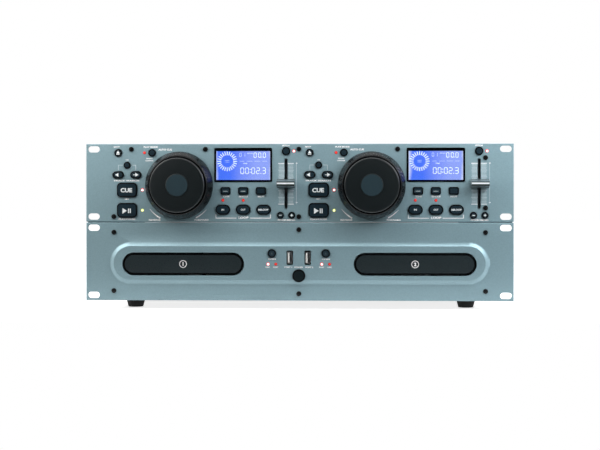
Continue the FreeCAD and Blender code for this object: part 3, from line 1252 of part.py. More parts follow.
def make_main_boards():
    """Return the disc unit's main board with its larger parts and the board behind its panel."""
    width = "(case_width - 2 * sheet_thickness - 2 * board_side_gap)"
    start = f"({REAR} - sheet_thickness - board_rear_gap - main_board_depth)"
    board_low = f"({CHASSIS_FLOOR} + main_board_rise)"
    solids = [block("0", start, board_low, width, "main_board_depth", "board_thickness")]
    for side in (-1, 0, 1):
        for edge in ("standoff_radius", "main_board_depth - standoff_radius"):
            solids.append(rod("z", f"{side} * ({width} / 2 - standoff_radius)", f"{start} + {edge}", CHASSIS_FLOOR,
                              "standoff_radius", "main_board_rise"))
    parts_row = f"({start} + main_board_depth / 2 - link_depth)"
    solids.append(block("transformer_x", f"{start} + standoff_radius", MAIN_BOARD_TOP, "transformer_width",
                        "transformer_depth - link_depth", "transformer_height"))
    solids += [rod("z", f"capacitor_x + {number} * capacitor_step", parts_row, MAIN_BOARD_TOP, "capacitor_radius",
                   "capacitor_height") for number in range(3)]
    solids += [block(f"{number} * jack_x / 2", f"{parts_row} - chip_size / 2", MAIN_BOARD_TOP, "chip_size",
                     "chip_size", "chip_height") for number in (1, 2, 3, 4)]
    front_middle = f"({PLAYER_ROW} + tray_row)"
    solids.append(block("0", behind("board_setback"), f"{front_middle} - front_board_height / 2",
                        "front_board_width", "board_thickness", "front_board_height"))
    for side in (-1, 1):
        for level in (-1, 1):
            solids.append(make_stud(f"{side} * (front_board_width / 2 - 2 * stud_radius)",
                                    f"{level} * (front_board_height / 2 - 2 * stud_radius)", front_middle))
    solids += [make_switch(x, f"{PLAYER_ROW} + ({z})") for _, x, z in PLAYER_KEYS.values()]
    return solids


def make_circuit_boards():
    """The boards of both units with what is soldered to them."""
    group("circuit_boards", make_control_board() + make_main_boards())


def round_socket(x, z, wall, radius, bore, proud, inside, flange=None):
    """A round socket through a rear wall: barrel, optional flange on the wall's outer face, bore."""
    barrel = rod("y", x, f"{wall} - sheet_thickness - ({inside})", z, radius,
                 f"sheet_thickness + ({inside}) + ({proud})")
    hole = rod("y", x, f"{wall} + ({proud}) - link_depth / 2", z, bore, "link_depth / 2")
    if flange is None:
        return without(barrel, hole)
    return without(joined(barrel, rod("y", x, wall, z, flange, "jack_flange_thickness")), hole)


def socket_stand(x, z, radius, wall, inside):
    """The moulded foot of a rear socket on the main board."""
    return block(x, f"{wall} - sheet_thickness - ({inside})", MAIN_BOARD_TOP, f"2 * {radius}", inside,
                 f"{z} - {MAIN_BOARD_TOP}")


def make_usb_port(side):
    """One upright USB socket: a steel shell with its contact tongue on the left."""
    start = behind(f"{PLAYER_FACE} + port_recess")
    length = "(board_setback + relief_height - port_recess)"
    x, z = f"{side}port_x", f"({PLAYER_ROW} + port_row)"
    outer = block(x, start, f"{z} - port_height / 2", "port_width", length, "port_height")
    hollow = block(x, start, f"{z} - port_height / 2 + port_wall", "port_width - 2 * port_wall",
                   f"{length} - 2 * port_width", "port_height - 2 * port_wall")
    tongue_x = f"{x} - port_width / 2 + 2 * port_wall + port_tongue / 2"
    tongue = block(tongue_x, f"{start} + port_wall", f"{z} - port_height / 2 + 2 * port_wall", "port_tongue",
                   f"{length} - 2 * port_width - port_wall", "port_height - 4 * port_wall")
    return joined(without(outer, hollow), tongue)


def make_mains_inlet():
    """The three-pin mains inlet in the rear wall."""
    flange_width, flange_height = "(inlet_width + 2 * inlet_flange)", "(inlet_height + 2 * inlet_flange)"
    start = f"({REAR} + inlet_proud - inlet_depth)"
    body = block("inlet_x", start, f"{INLET_ROW} - inlet_height / 2", "inlet_width", "inlet_depth", "inlet_height")
    flange = block("inlet_x", REAR, f"{INLET_ROW} - {flange_height} / 2", flange_width, "inlet_proud", flange_height)
    cavity_height = "(inlet_height - 2 * inlet_wall)"
    cavity = block("inlet_x", f"{start} + inlet_floor", f"{INLET_ROW} - {cavity_height} / 2",
                   "inlet_width - 2 * inlet_wall", "inlet_depth - inlet_floor", cavity_height)
    pins = [block(f"inlet_x + {number} * inlet_pin_step", f"{start} + inlet_floor",
                  f"{INLET_ROW} + {rise} * inlet_pin_height / 2 - inlet_pin_height / 2", "inlet_pin_width",
                  "inlet_pin_length", "inlet_pin_height") for number, rise in ((-1, -1), (0, 1), (1, -1))]
    return joined(without(joined(body, flange), cavity), *pins)


def make_connectors():
    """All sockets: phono, fader start and link sockets, mains inlet and USB ports."""
    jacks, starts, links = rear_sockets()
    solids = []
    for places, radius, bore, proud, flange in (
            (jacks, "jack_radius", "jack_bore_radius", "jack_length", "jack_flange_radius"),
            (starts, "start_radius", "start_bore_radius", "link_proud", None),
            (links, "link_radius", "link_bore_radius", "link_proud", None)):
        for x in places:
            socket = round_socket(x, JACK_ROW, REAR, radius, bore, proud, "link_depth", flange)
            solids.append(joined(socket, without(
                socket_stand(x, JACK_ROW, radius, REAR, "link_depth"),
                rod("y", x, f"{REAR} - sheet_thickness - link_depth", JACK_ROW, bore, "link_depth"))))
    solids += [round_socket(x, CONTROL_ROW, CONTROL_REAR, "link_radius", "link_bore_radius", "link_proud",
                            "link_depth") for x in links]
    solids.append(make_mains_inlet())
    solids += [make_usb_port(side) for side in ("-", "")]
    group("connectors", solids)


def make_everything():
    """Build every node in the document."""
    make_control_front_panel()
    make_player_front_panel()
    make_keys()
    for deck in DECKS:
        make_shuttle_ring(deck)
        make_jog_dial(deck)
        make_fader_knob(deck)
        make_tray(deck)
        make_pinion(deck)
        make_spindle(deck)
        make_drive(deck)
    make_displays()
    make_lamps()
    make_screws()
    make_control_housing()
    make_chassis()
    make_top_cover()
    make_feet()
    make_circuit_boards()
    make_connectors()
    document.recompute()


def check_document():
    """Stop when an object failed to build or a node's shape is empty or not valid."""
    for item in document.Objects:
        if "Invalid" in item.State or "Error" in item.State:
            raise RuntimeError(f"{item.Name} ({item.Label}) is {item.State}")
    for node in nodes:
        if node.Shape.isNull() or not node.Shape.isValid() or not node.Shape.Solids:
            raise RuntimeError(f"{node.Label} has no valid shape")
    if len(nodes) > MAX_FILES:
        raise RuntimeError(f"{len(nodes)} nodes are more than {MAX_FILES}")


def export_nodes():
    """Write one STEP file for each node."""
    os.makedirs("parts", exist_ok=True)
    for node in nodes:
        node.Shape.exportStep(f"parts/{node.Label}.step")
        print(f"{node.Label}: {len(node.Shape.Solids)} solids, {node.Shape.Volume:.0f} mm3")


fill_sheet()
make_everything()
check_document()
export_nodes()
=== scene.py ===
"""Dresses the dual DJ disc player: finishes, printing, displays, lamps, jog wheels and faders.

Sub-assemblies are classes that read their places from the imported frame. Their sizes are in millimetres, apart
from the studio's. MM turns them to Blender's metres.
"""

import logging
import math
from dataclasses import dataclass, field
from enum import Enum
from typing import Callable, Iterable, Sequence

import bmesh
import bpy
from mathutils import Matrix, Vector


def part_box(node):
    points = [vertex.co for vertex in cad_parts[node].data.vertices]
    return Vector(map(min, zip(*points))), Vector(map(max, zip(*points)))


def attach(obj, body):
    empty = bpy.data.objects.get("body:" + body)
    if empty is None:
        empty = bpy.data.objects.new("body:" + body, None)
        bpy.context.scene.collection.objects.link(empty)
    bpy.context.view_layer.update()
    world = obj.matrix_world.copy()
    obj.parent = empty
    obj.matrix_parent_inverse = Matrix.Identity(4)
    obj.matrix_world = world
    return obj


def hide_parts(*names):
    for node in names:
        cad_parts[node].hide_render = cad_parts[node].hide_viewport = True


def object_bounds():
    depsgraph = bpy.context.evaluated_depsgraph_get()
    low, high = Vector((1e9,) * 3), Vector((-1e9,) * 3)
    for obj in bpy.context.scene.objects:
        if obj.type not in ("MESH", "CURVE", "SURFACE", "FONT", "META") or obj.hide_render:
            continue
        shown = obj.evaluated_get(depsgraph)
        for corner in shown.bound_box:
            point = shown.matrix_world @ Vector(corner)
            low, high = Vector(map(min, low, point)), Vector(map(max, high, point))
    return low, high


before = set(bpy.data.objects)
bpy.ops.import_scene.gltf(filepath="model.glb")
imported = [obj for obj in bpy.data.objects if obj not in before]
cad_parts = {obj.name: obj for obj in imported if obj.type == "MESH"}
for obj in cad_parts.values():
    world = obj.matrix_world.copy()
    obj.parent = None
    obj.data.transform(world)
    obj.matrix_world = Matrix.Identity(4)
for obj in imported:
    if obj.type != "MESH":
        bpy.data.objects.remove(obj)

CAD_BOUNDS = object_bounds()
MM = 0.001
CASES = "cases"
# A deck's centre line is this far from the panel's middle, in millimetres.
DECK_MIDDLE = 108.5
# Most of a Noise node's factor lies in this range.
NOISE_RANGE = (0.3, 0.7)
Point = tuple[float, float]
log = logging.getLogger("player")


class Deck(Enum):
    """The two decks, left and right."""

    A = "a"
    B = "b"


class Glow(Enum):
    """How a lamp shows: its lens colour, its core colour, and their emission strengths."""

    # Unlit red lamps still glow faintly: painted light for their red lenses catching the room's light.
    RED_OFF = ("#B01410", "#E8362C", 0.25, 0.35)
    RED_ON = ("#E8202A", "#FFF0F0", 0.9, 1.3)
    GREEN_ON = ("#B9C22C", "#FBFFC4", 0.8, 1.2)


def linear(colour: str) -> tuple[float, float, float, float]:
    """Turn an sRGB hex colour to linear RGBA.

    Args:
        colour: a colour such as "#8FAAB5".
    Returns:
        Linear red, green and blue, and an alpha of 1.
    """
    parts = [int(colour[index:index + 2], 16) / 255 for index in (1, 3, 5)]
    channels = [part / 12.92 if part <= 0.04045 else ((part + 0.055) / 1.055) ** 2.4 for part in parts]
    return (*channels, 1.0)


def add_node(tree: bpy.types.NodeTree, kind: str, inputs: dict | None = None, **settings) -> bpy.types.Node:
    """Add one node to a tree.

    Args:
        tree: the node tree.
        kind: the node's type name.
        inputs: input name or number to a value, or to the output socket that feeds it.
        settings: properties of the node itself.
    Returns:
        The new node.
    """
    node = tree.nodes.new(kind)
    for name, setting in settings.items():
        setattr(node, name, setting)
    for name, source in (inputs or {}).items():
        if isinstance(source, bpy.types.NodeSocket):
            tree.links.new(source, node.inputs[name])
        else:
            node.inputs[name].default_value = source
    return node


def object_place(tree: bpy.types.NodeTree) -> bpy.types.NodeSocket:
    """Return the socket of Object coordinates."""
    return add_node(tree, "ShaderNodeTexCoord").outputs["Object"]


def part_of(tree: bpy.types.NodeTree, vector: bpy.types.NodeSocket, axis: str) -> bpy.types.NodeSocket:
    """Return the socket of a vector's X, Y or Z part."""
    return add_node(tree, "ShaderNodeSeparateXYZ", {"Vector": vector}).outputs[axis]


def worked(tree: bpy.types.NodeTree, operation: str,
           *terms: bpy.types.NodeSocket | float) -> bpy.types.NodeSocket:
    """Return the socket of a sum, product or the like.

    Args:
        tree: the node tree.
        operation: the Math node's operation.
        terms: its two terms.
    Returns:
        The result's socket.
    """
    return add_node(tree, "ShaderNodeMath", dict(enumerate(terms)), operation=operation).outputs["Value"]


def ranged(tree: bpy.types.NodeTree, value: bpy.types.NodeSocket, given: Point = (0.0, 1.0),
           wanted: Point = (0.0, 1.0)) -> bpy.types.NodeSocket:
    """Map a value from one range to another.

    Args:
        tree: the node tree.
        value: the value's socket.
        given: the range that it comes in.
        wanted: the range that it leaves in.
    Returns:
        The result's socket.
    """
    ends = {"From Min": given[0], "From Max": given[1], "To Min": wanted[0], "To Max": wanted[1]}
    return add_node(tree, "ShaderNodeMapRange", {"Value": value, **ends}).outputs["Result"]


def brightened(tree: bpy.types.NodeTree, colour: bpy.types.NodeSocket | tuple,
               value: bpy.types.NodeSocket) -> bpy.types.NodeSocket:
    """Return the socket of a colour whose brightness is multiplied by a value."""
    return add_node(tree, "ShaderNodeHueSaturation", {"Color": colour, "Value": value}).outputs["Color"]


def emptied(holder: bpy.types.Material | bpy.types.World) -> bpy.types.NodeTree:
    """Empty a material's or a world's node tree.

    Args:
        holder: the material or world.
    Returns:
        Its node tree, with no nodes in it.
    """
    holder.use_nodes = True
    holder.node_tree.nodes.clear()
    return holder.node_tree


# ---------------------------------------------------------------- finishes


@dataclass(frozen=True)
class Finish:
    """A surface: a base colour broken up by fine grain and slow mottling, with its gloss and bump.

    grain is the pattern's real pitch in millimetres; mottling is the size of the slow variation.
    """

    name: str
    colour: str
    roughness: float
    metallic: float = 0.0
    grain: float = 0.6
    depth: float = 0.02
    mottling: float = 40.0
    variation: float = 0.06
    ior: float = 1.5
    coat: float = 0.0

    def pattern(self, tree: bpy.types.NodeTree, pitch: float, detail: float) -> bpy.types.NodeSocket:
        """Add noise of a real pitch in millimetres on Object coordinates.

        Args:
            tree: the material's node tree.
            pitch: size of the pattern in millimetres.
            detail: the noise's detail.
        Returns:
            The noise's factor socket.
        """
        settings = {"Vector": object_place(tree), "Scale": 1 / (pitch * MM), "Detail": detail,
                    "Roughness": 0.55}
        return add_node(tree, "ShaderNodeTexNoise", settings).outputs["Fac"]

    def shade(self, tree: bpy.types.NodeTree) -> dict:
        """Return the Principled inputs of this finish.

        Args:
            tree: the material's node tree.
        Returns:
            Input names with values or sockets.
        """
        slow, fine = self.pattern(tree, self.mottling, 2.0), self.pattern(tree, self.grain, 3.0)
        bright = ranged(tree, slow, NOISE_RANGE, (1 - self.variation, 1 + self.variation))
        rough = (self.roughness * 0.88, min(1.0, self.roughness * 1.12))
        bump = add_node(tree, "ShaderNodeBump", {"Height": fine, "Strength": 0.5,
                                                 "Distance": self.depth * MM})
        return {"Base Color": brightened(tree, linear(self.colour), bright), "Metallic": self.metallic,
                "IOR": self.ior, "Coat Weight": self.coat, "Normal": bump.outputs["Normal"],
                "Roughness": ranged(tree, fine, NOISE_RANGE, rough)}

    def build(self) -> bpy.types.Material:
        """Make the material, once.

        Returns:
            The new material, or the one made before under this name.
        """
        if self.name in bpy.data.materials:
            return bpy.data.materials[self.name]
        material = bpy.data.materials.new(self.name)
        tree = emptied(material)
        shader = add_node(tree, "ShaderNodeBsdfPrincipled", self.shade(tree))
        add_node(tree, "ShaderNodeOutputMaterial", {"Surface": shader.outputs["BSDF"]})
        return material


@dataclass(frozen=True)
class MetallicPaint(Finish):
    """Paint with aluminium flake: fine sparkle under a satin binder."""

    flake: float = 0.9
    sparkle: float = 0.05

    def shade(self, tree: bpy.types.NodeTree) -> dict:
        """Return the Principled inputs, with flakes of their own brightness and tilt.

        Args:
            tree: the material's node tree.
        Returns:
            Input names with values or sockets.
        """
        inputs = super().shade(tree)
        cells = add_node(tree, "ShaderNodeTexVoronoi", {"Vector": object_place(tree),
                                                        "Scale": 1 / (self.flake * MM)})
        level = add_node(tree, "ShaderNodeSeparateColor", {"Color": cells.outputs["Color"]}).outputs["Red"]
        bright = ranged(tree, level, wanted=(1 - self.sparkle, 1 + self.sparkle))
        inputs["Base Color"] = brightened(tree, inputs["Base Color"], bright)
        return inputs


@dataclass(frozen=True)
class DarkEdged(Finish):
    """Moulded plastic whose edges go dark where they turn away from the front.

    The dark edges are painted shade: they stand for the shade on the rounded edges and the shadow of the gaps
    round them. The surface starts to darken where the front part of its normal is level_start, and is dark at
    level_end.
    Only what stands in front of reach, in millimetres of the CAD frame, is darkened. shine is the specular
    level of the face and of its edges, so the painted shade is also matt.
    """

    edge: str = "#010202"
    level_start: float = 0.985
    level_end: float = 0.90
    reach: float = -118.5
    shine: Point = (0.5, 0.04)

    def shade(self, tree: bpy.types.NodeTree) -> dict:
        """Return the Principled inputs, with the edges dark and matt.

        Args:
            tree: the material's node tree.
        Returns:
            Input names with values or sockets.
        """
        inputs = super().shade(tree)
        # Painted shade: where the normal turns away from the front, the colour goes dark and the highlight
        # dull.
        facing = part_of(tree, add_node(tree, "ShaderNodeNewGeometry").outputs["Normal"], "Y")
        turned = ranged(tree, facing, (-self.level_start, -self.level_end))
        ahead = worked(tree, "LESS_THAN", part_of(tree, object_place(tree), "Y"), self.reach * MM)
        share = worked(tree, "MULTIPLY", turned, ahead)
        inputs["Base Color"] = add_node(tree, "ShaderNodeMixRGB", {
            "Fac": share, "Color1": inputs["Base Color"], "Color2": linear(self.edge)}).outputs["Color"]
        inputs["Specular IOR Level"] = ranged(tree, share, wanted=self.shine)
        return inputs


@dataclass(frozen=True)
class TurnedGrooves(Finish):
    """A moulded disc whose mould was turned: faint rings round the jog dial's own axis.

    ring_pitch and ring_depth are in millimetres. A Wave node's sine runs through 20 radians in a unit.
    """

    centre: tuple[float, float, float] = (0.0, 0.0, 0.0)
    ring_pitch: float = 5.0265
    ring_depth: float = 0.03

    def shade(self, tree: bpy.types.NodeTree) -> dict:
        """Return the Principled inputs, with rings in the bump.

        Args:
            tree: the material's node tree.
        Returns:
            Input names with values or sockets.
        """
        inputs = super().shade(tree)
        shifted = add_node(tree, "ShaderNodeMapping", {"Vector": object_place(tree),
                                                       "Location": [-part for part in self.centre]})
        rings = add_node(tree, "ShaderNodeTexWave", {"Vector": shifted.outputs["Vector"],
                                                     "Scale": 2 * math.pi / (self.ring_pitch * MM * 20)},
                         wave_type="RINGS", rings_direction="Y")
        bump = add_node(tree, "ShaderNodeBump", {
            "Height": rings.outputs["Fac"], "Strength": 0.35, "Distance": self.ring_depth * MM,
            "Normal": inputs["Normal"]})
        inputs["Normal"] = bump.outputs["Normal"]
        return inputs


@dataclass(frozen=True)
class Lit(Finish):
    """A surface that gives light: a lamp's lens or a segment of a display."""

    strength: float = 1.0

    def shade(self, tree: bpy.types.NodeTree) -> dict:
        """Return the Principled inputs with emission.

        Args:
            tree: the material's node tree.
        Returns:
            Input names with values or sockets.
        """
        inputs = super().shade(tree)
        inputs["Emission Color"] = inputs["Base Color"]
        inputs["Emission Strength"] = self.strength
        return inputs


@dataclass(frozen=True)
class Backlight(Finish):
    """A liquid crystal cell lit from its left edge: white at the lamp, then deep blue, then paler.

    left and right are the cell's sides in metres. The colours' borders wander by some millimetres.
    """

    middle: str = "#7893FF"
    pale: str = "#93A9FF"
    edge: str = "#CBD8FF"
    lamp: str = "#F2F6FF"
    left: float = 0.0
    right: float = 1.0
    strength: float = 1.0
    unlit: str = "#10142A"
    wander: float = 6.0
    wander_pitch: float = 18.0

    def shade(self, tree: bpy.types.NodeTree) -> dict:
        """Return the Principled inputs with a graded emission across the cell.

        Args:
            tree: the material's node tree.
        Returns:
            Input names with values or sockets.
        """
        inputs = super().shade(tree)
        wobble = worked(tree, "MULTIPLY", self.pattern(tree, self.wander_pitch, 1.0), self.wander * MM)
        shifted = worked(tree, "ADD", part_of(tree, object_place(tree), "X"), wobble)
        share = ranged(tree, shifted, (self.left, self.right + self.wander / 2 * MM))
        ramp = add_node(tree, "ShaderNodeValToRGB", {"Fac": share})
        stops = ((0.0, self.lamp), (0.04, self.edge), (0.1, self.colour), (0.3, self.colour),
                 (0.5, self.middle), (0.75, self.pale), (0.97, self.pale), (1.0, self.edge))
        while len(ramp.color_ramp.elements) < len(stops):
            ramp.color_ramp.elements.new(0.5)
        for element, (position, colour) in zip(ramp.color_ramp.elements, stops):
            element.position = position
            element.color = linear(colour)
        inputs["Base Color"] = linear(self.unlit)
        inputs["Emission Color"] = ramp.outputs["Color"]
        inputs["Emission Strength"] = self.strength
        return inputs


@dataclass(frozen=True)
class ClearGlass(Finish):
    """A thin clear cover."""

    def shade(self, tree: bpy.types.NodeTree) -> dict:
        """Return the Principled inputs with transmission.

        Args:
            tree: the material's node tree.
        Returns:
            Input names with values or sockets.
        """
        inputs = super().shade(tree)
        inputs["Transmission Weight"] = 1.0
        return inputs


# The panels' paint is blue-grey with a soft metal sheen.
PANEL_PAINT = MetallicPaint("panel_metallic_paint", "#8AA7B0", 0.40, metallic=0.35, grain=0.5, depth=0.012,
                            mottling=90.0, variation=0.03)
# Powder coat has a fine orange-peel texture that scatters highlights.
CASE_COAT = Finish("case_powder_coat", "#1E2123", 0.55, grain=0.9, depth=0.05, mottling=60.0, variation=0.08)
# Keys are moulded ABS with a spark-eroded, satin face; their rounded edges carry painted shade.
KEY_ABS = DarkEdged("key_satin_abs", "#152730", 0.30, grain=0.35, depth=0.012, mottling=12.0,
                    variation=0.10, ior=1.53)
# The power key's edges carry painted shade too.
POWER_ABS = DarkEdged("power_key_abs", "#091518", 0.36, grain=0.35, depth=0.012, mottling=12.0, ior=1.28)
# Painted shade: the dark border round each key's face stands for the shadow in the gap round the key.
KEY_EDGE_SHADE = Finish("key_painted_edge_shade", "#010203", 0.6, grain=0.35, depth=0.01, mottling=12.0, ior=1.2)
# The shuttle ring is polished ABS, so it mirrors the lights along its slope. Its outer wall carries painted
# shade.
RING_ABS = DarkEdged("ring_polished_abs", "#06080A", 0.26, grain=1.2, depth=0.003, mottling=20.0,
                     variation=0.05,
                     ior=1.27, level_start=0.25, level_end=0.1)
# The knob is ABS with grey metallic paint.
KNOB_GREY = Finish("knob_grey_paint", "#5C6B70", 0.34, metallic=0.3, grain=0.4, depth=0.006, mottling=10.0,
                     variation=0.04)
CENTRE_LABEL = Finish("dial_centre_label", "#22333A", 0.36, grain=0.5, depth=0.006, mottling=12.0,
                      variation=0.04)
# Black for the fader's dust seals, and painted shade on the knob: its groove's pointer line and its top and
# bottom strips.
SEAL_BLACK_AND_PAINTED_SHADE = Finish("seal_black_and_painted_shade", "#0C0E0F", 0.45, grain=0.4, depth=0.01)
BEZEL_ABS = Finish("bezel_gloss_abs", "#040506", 0.16, grain=1.0, depth=0.003, mottling=15.0,
                   variation=0.05, coat=0.3)
BLACK_OXIDE = Finish("screw_black_oxide", "#1A1B1C", 0.38, metallic=0.7, grain=0.3, depth=0.008, mottling=2.0,
                     variation=0.15)
FOOT_RUBBER = Finish("foot_rubber", "#121314", 0.85, grain=0.7, depth=0.06, mottling=9.0, variation=0.12)
# The trays' charcoal ABS, with painted shade on the cap's rounded front edges.
TRAY_ABS = DarkEdged("tray_charcoal_abs", "#1F282B", 0.30, grain=0.5, depth=0.012, mottling=30.0,
                     variation=0.07)
DRIVE_ABS = Finish("drive_black_abs", "#1B1D1F", 0.5, grain=0.6, depth=0.02, mottling=25.0, variation=0.08)
ACETAL = Finish("gear_acetal", "#DEDCCD", 0.4, grain=0.5, depth=0.006, mottling=8.0, variation=0.04)
NICKEL = Finish("nickel_plate", "#C9C6BE", 0.22, metallic=1.0, grain=0.3, depth=0.003, mottling=4.0,
                variation=0.05)
STEEL = Finish("bright_steel", "#B9BCBE", 0.30, metallic=1.0, grain=0.3, depth=0.005, mottling=8.0,
               variation=0.05)
BRASS = Finish("contact_gold", "#C9A552", 0.28, metallic=1.0, grain=0.3, depth=0.003, mottling=3.0,
               variation=0.06)
SOCKET_BLACK = Finish("socket_nylon", "#141516", 0.5, grain=0.5, depth=0.012, mottling=8.0, variation=0.08)
TONGUE_WHITE = Finish("tongue_white_nylon", "#EDEEE9", 0.45, grain=0.4, depth=0.006, mottling=6.0,
                      variation=0.03)
RED_NYLON = Finish("red_nylon", "#B51B1E", 0.4, grain=0.4, depth=0.006, mottling=5.0, variation=0.05)
ORANGE_NYLON = Finish("orange_nylon", "#D8701A", 0.4, grain=0.4, depth=0.006, mottling=5.0, variation=0.05)
SOLDER_MASK = Finish("solder_mask", "#1C5B36", 0.35, grain=0.8, depth=0.01, mottling=14.0, variation=0.12)
WHITE_INK = Finish("white_screen_ink", "#FFFFFF", 0.6, grain=0.3, depth=0.004, mottling=6.0, variation=0.03)
PALE_INK = Finish("pale_screen_ink", "#D3E1E6", 0.6, grain=0.3, depth=0.004, mottling=6.0, variation=0.03)
DIM_INK = Finish("grey_key_ink", "#4A575C", 0.55, grain=0.3, depth=0.004, mottling=6.0, variation=0.03)
KEY_INK = Finish("key_white_ink", "#EEF4F5", 0.55, grain=0.3, depth=0.004, mottling=6.0, variation=0.03)
SEGMENT = Lit("display_segment", "#DDE8FF", 0.5, strength=0.92, grain=0.4, depth=0.002)
FAINT_SEGMENT = Lit("display_faint_segment", "#B8C8FF", 0.5, strength=0.9, grain=0.4, depth=0.002)
WINDOW = ClearGlass("display_window", "#FFFFFF", 0.03, grain=2.0, depth=0.001, variation=0.0, ior=1.49)


# ---------------------------------------------------------------- pieces and meshes


@dataclass(frozen=True)
class Spot:
    """Where a CAD node stands, in millimetres: the middle of its front, and its width."""

    x: float
    z: float
    front: float
    width: float

    @classmethod
    def of(cls, node: str) -> "Spot":
        """Read a node's place from the frame."""
        low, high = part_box(node)
        return cls((low.x + high.x) / 2 / MM, (low.z + high.z) / 2 / MM, low.y / MM, (high.x - low.x) / MM)


def link(name: str, data: bpy.types.ID) -> bpy.types.Object:
    """Put data in the scene as an object at the origin.

    Args:
        name: the object's name.
        data: its mesh, curve, light or camera.
    Returns:
        The object.
    """
    thing = bpy.data.objects.new(name, data)
    bpy.context.scene.collection.objects.link(thing)
    return thing


def dress(thing: bpy.types.Object, finish: Finish, body: str = CASES, stands_for: Iterable[str] = ()) -> bpy.types.Object:
    """Give a piece its finish, its body and the CAD nodes that it stands for.

    Args:
        thing: the piece, in place.
        finish: its surface.
        body: the CAD body that it moves with.
        stands_for: CAD nodes that it replaces.
    Returns:
        The piece.
    """
    material = finish.build()
    for mesh in (thing.data, *(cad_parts[node].data for node in stands_for)):
        mesh.materials.clear()
        mesh.materials.append(material)
    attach(thing, body)
    if stands_for:
        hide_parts(*stands_for)
    log.info("%s rides on %s in %s", thing.name, body, finish.name)
    return thing


def solid_from(name: str, shape: bmesh.types.BMesh, sharp: float = 32.0) -> bpy.types.Object:
    """Turn a bmesh into an object with outward normals, smooth where faces meet gently.

    Args:
        name: the object's name.
        shape: the bmesh, freed here.
        sharp: edges above this angle in degrees stay sharp.
    Returns:
        The object.
    """
    bmesh.ops.remove_doubles(shape, verts=shape.verts, dist=1e-6)
    bmesh.ops.recalc_face_normals(shape, faces=shape.faces)
    mesh = bpy.data.meshes.new(name)
    shape.to_mesh(mesh)
    shape.free()
    mesh.shade_smooth()
    mesh.set_sharp_from_angle(angle=math.radians(sharp))
    return link(name, mesh)


def bevelled(thing: bpy.types.Object, width: float) -> bpy.types.Object:
    """Round a piece's sharp edges, as moulding or deburring leaves them.

    Args:
        thing: the piece.
        width: the rounding's width in millimetres.
    Returns:
        The piece.
    """
    modifier = thing.modifiers.new("rounded_edges", "BEVEL")
    modifier.width, modifier.segments = width * MM, 2
    modifier.limit_method, modifier.angle_limit = "ANGLE", math.radians(40.0)
    modifier.use_clamp_overlap = modifier.harden_normals = True
    return thing


def weighted(thing: bpy.types.Object) -> bpy.types.Object:
    """Let large flat faces rule the shading at their edges, so that they look flat.

    Args:
        thing: the piece.
    Returns:
        The piece.
    """
    modifier = thing.modifiers.new("flat_faces_rule", "WEIGHTED_NORMAL")
    modifier.keep_sharp, modifier.weight = True, 90
    return thing


def merged_copy(node: str) -> bmesh.types.BMesh:
    """Copy a CAD node's shape and join its loose triangles.

    Args:
        node: the CAD node.
    Returns:
        The copy's shape.
    """
    shape = bmesh.new()
    shape.from_mesh(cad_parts[node].data)
    bmesh.ops.remove_doubles(shape, verts=shape.verts, dist=2e-6)
    bmesh.ops.dissolve_limit(shape, angle_limit=math.radians(0.3), verts=shape.verts, edges=shape.edges)
    return shape


def finished_node(node: str, finish: Finish, body: str = CASES,
                  rounding: float = 0.0) -> None:
    """Stand in for a CAD node with the same shape, joined and smooth.

    Args:
        node: the CAD node.
        finish: its surface.
        body: its body.
        rounding: the rounding of its sharp edges in millimetres, or 0 for none.
    """
    thing = solid_from(f"{node}_shell", merged_copy(node), 25.0)
    if rounding:
        bevelled(thing, rounding)
    dress(weighted(thing), finish, body, [node])


@dataclass(frozen=True)
class KeyRim:
    """A thin dark border of painted shade round a key's flat face, in millimetres; share is its part of the
    key's width.
    """

    narrowest: float = 0.3
    share: float = 0.06
    widest: float = 0.75
    thick: float = 0.06
    proud: float = 0.02
    flat: float = 0.01

    def lay(self, key: str) -> None:
        """Lay the painted-shade border on one key.

        Args:
            key: the key's node and body.
        """
        shape = merged_copy(key)
        spot = Spot.of(key)
        width = min(self.widest, self.narrowest + self.share * spot.width)
        front = (spot.front + self.flat) * MM
        face = [part for part in shape.faces if all(vertex.co.y < front for vertex in part.verts)]
        inset = bmesh.ops.inset_region(shape, faces=face, thickness=width * MM, use_even_offset=True)
        ring = set(inset["faces"])
        bmesh.ops.delete(shape, geom=[part for part in shape.faces if part not in ring], context="FACES")
        bmesh.ops.translate(shape, verts=shape.verts, vec=(0.0, -self.proud * MM, 0.0))
        bmesh.ops.solidify(shape, geom=list(shape.faces), thickness=self.thick * MM)
        dress(solid_from(f"{key}_rim", shape), KEY_EDGE_SHADE, key)


def islands(node: str) -> list[bmesh.types.BMesh]:
    """Take a copy of a CAD node apart into its separate solids.

    Args:
        node: the CAD node.
    Returns:
        The solids' shapes, in the order of the node's corners.
    """
    shape = merged_copy(node)
    shape.verts.ensure_lookup_table()
    seen: set[int] = set()
    parts = []
    for start in shape.verts:
        if start.index in seen:
            continue
        stack, found = [start], []
        seen.add(start.index)
        while stack:
            vertex = stack.pop()
            found.append(vertex)
            for edge in vertex.link_edges:
                other = edge.other_vert(vertex)
                if other.index not in seen:
                    seen.add(other.index)
                    stack.append(other)
        part = bmesh.new()
        copies = {vertex: part.verts.new(vertex.co) for vertex in found}
        for face in dict.fromkeys(face for vertex in found for face in vertex.link_faces):
            part.faces.new([copies[vertex] for vertex in face.verts])
        parts.append(part)
    shape.free()
    return parts


def extent(shape: bmesh.types.BMesh) -> tuple[Vector, Vector]:
    """Measure a shape's box.

    Args:
        shape: the shape.
    Returns:
        Its lowest and highest corner.
    """
    low, high = (Vector([limit(vertex.co[axis] for vertex in shape.verts) for axis in range(3)])
                 for limit in (min, max))
    return low, high


def take_in(shape: bmesh.types.BMesh, part: bmesh.types.BMesh) -> None:
    """Move one solid into a shape.

    Args:
        shape: the shape that grows.
        part: the solid, freed here.
    """
    solid = bpy.data.meshes.new("solid")
    part.to_mesh(solid)
    part.free()
    shape.from_mesh(solid)
    bpy.data.meshes.remove(solid)


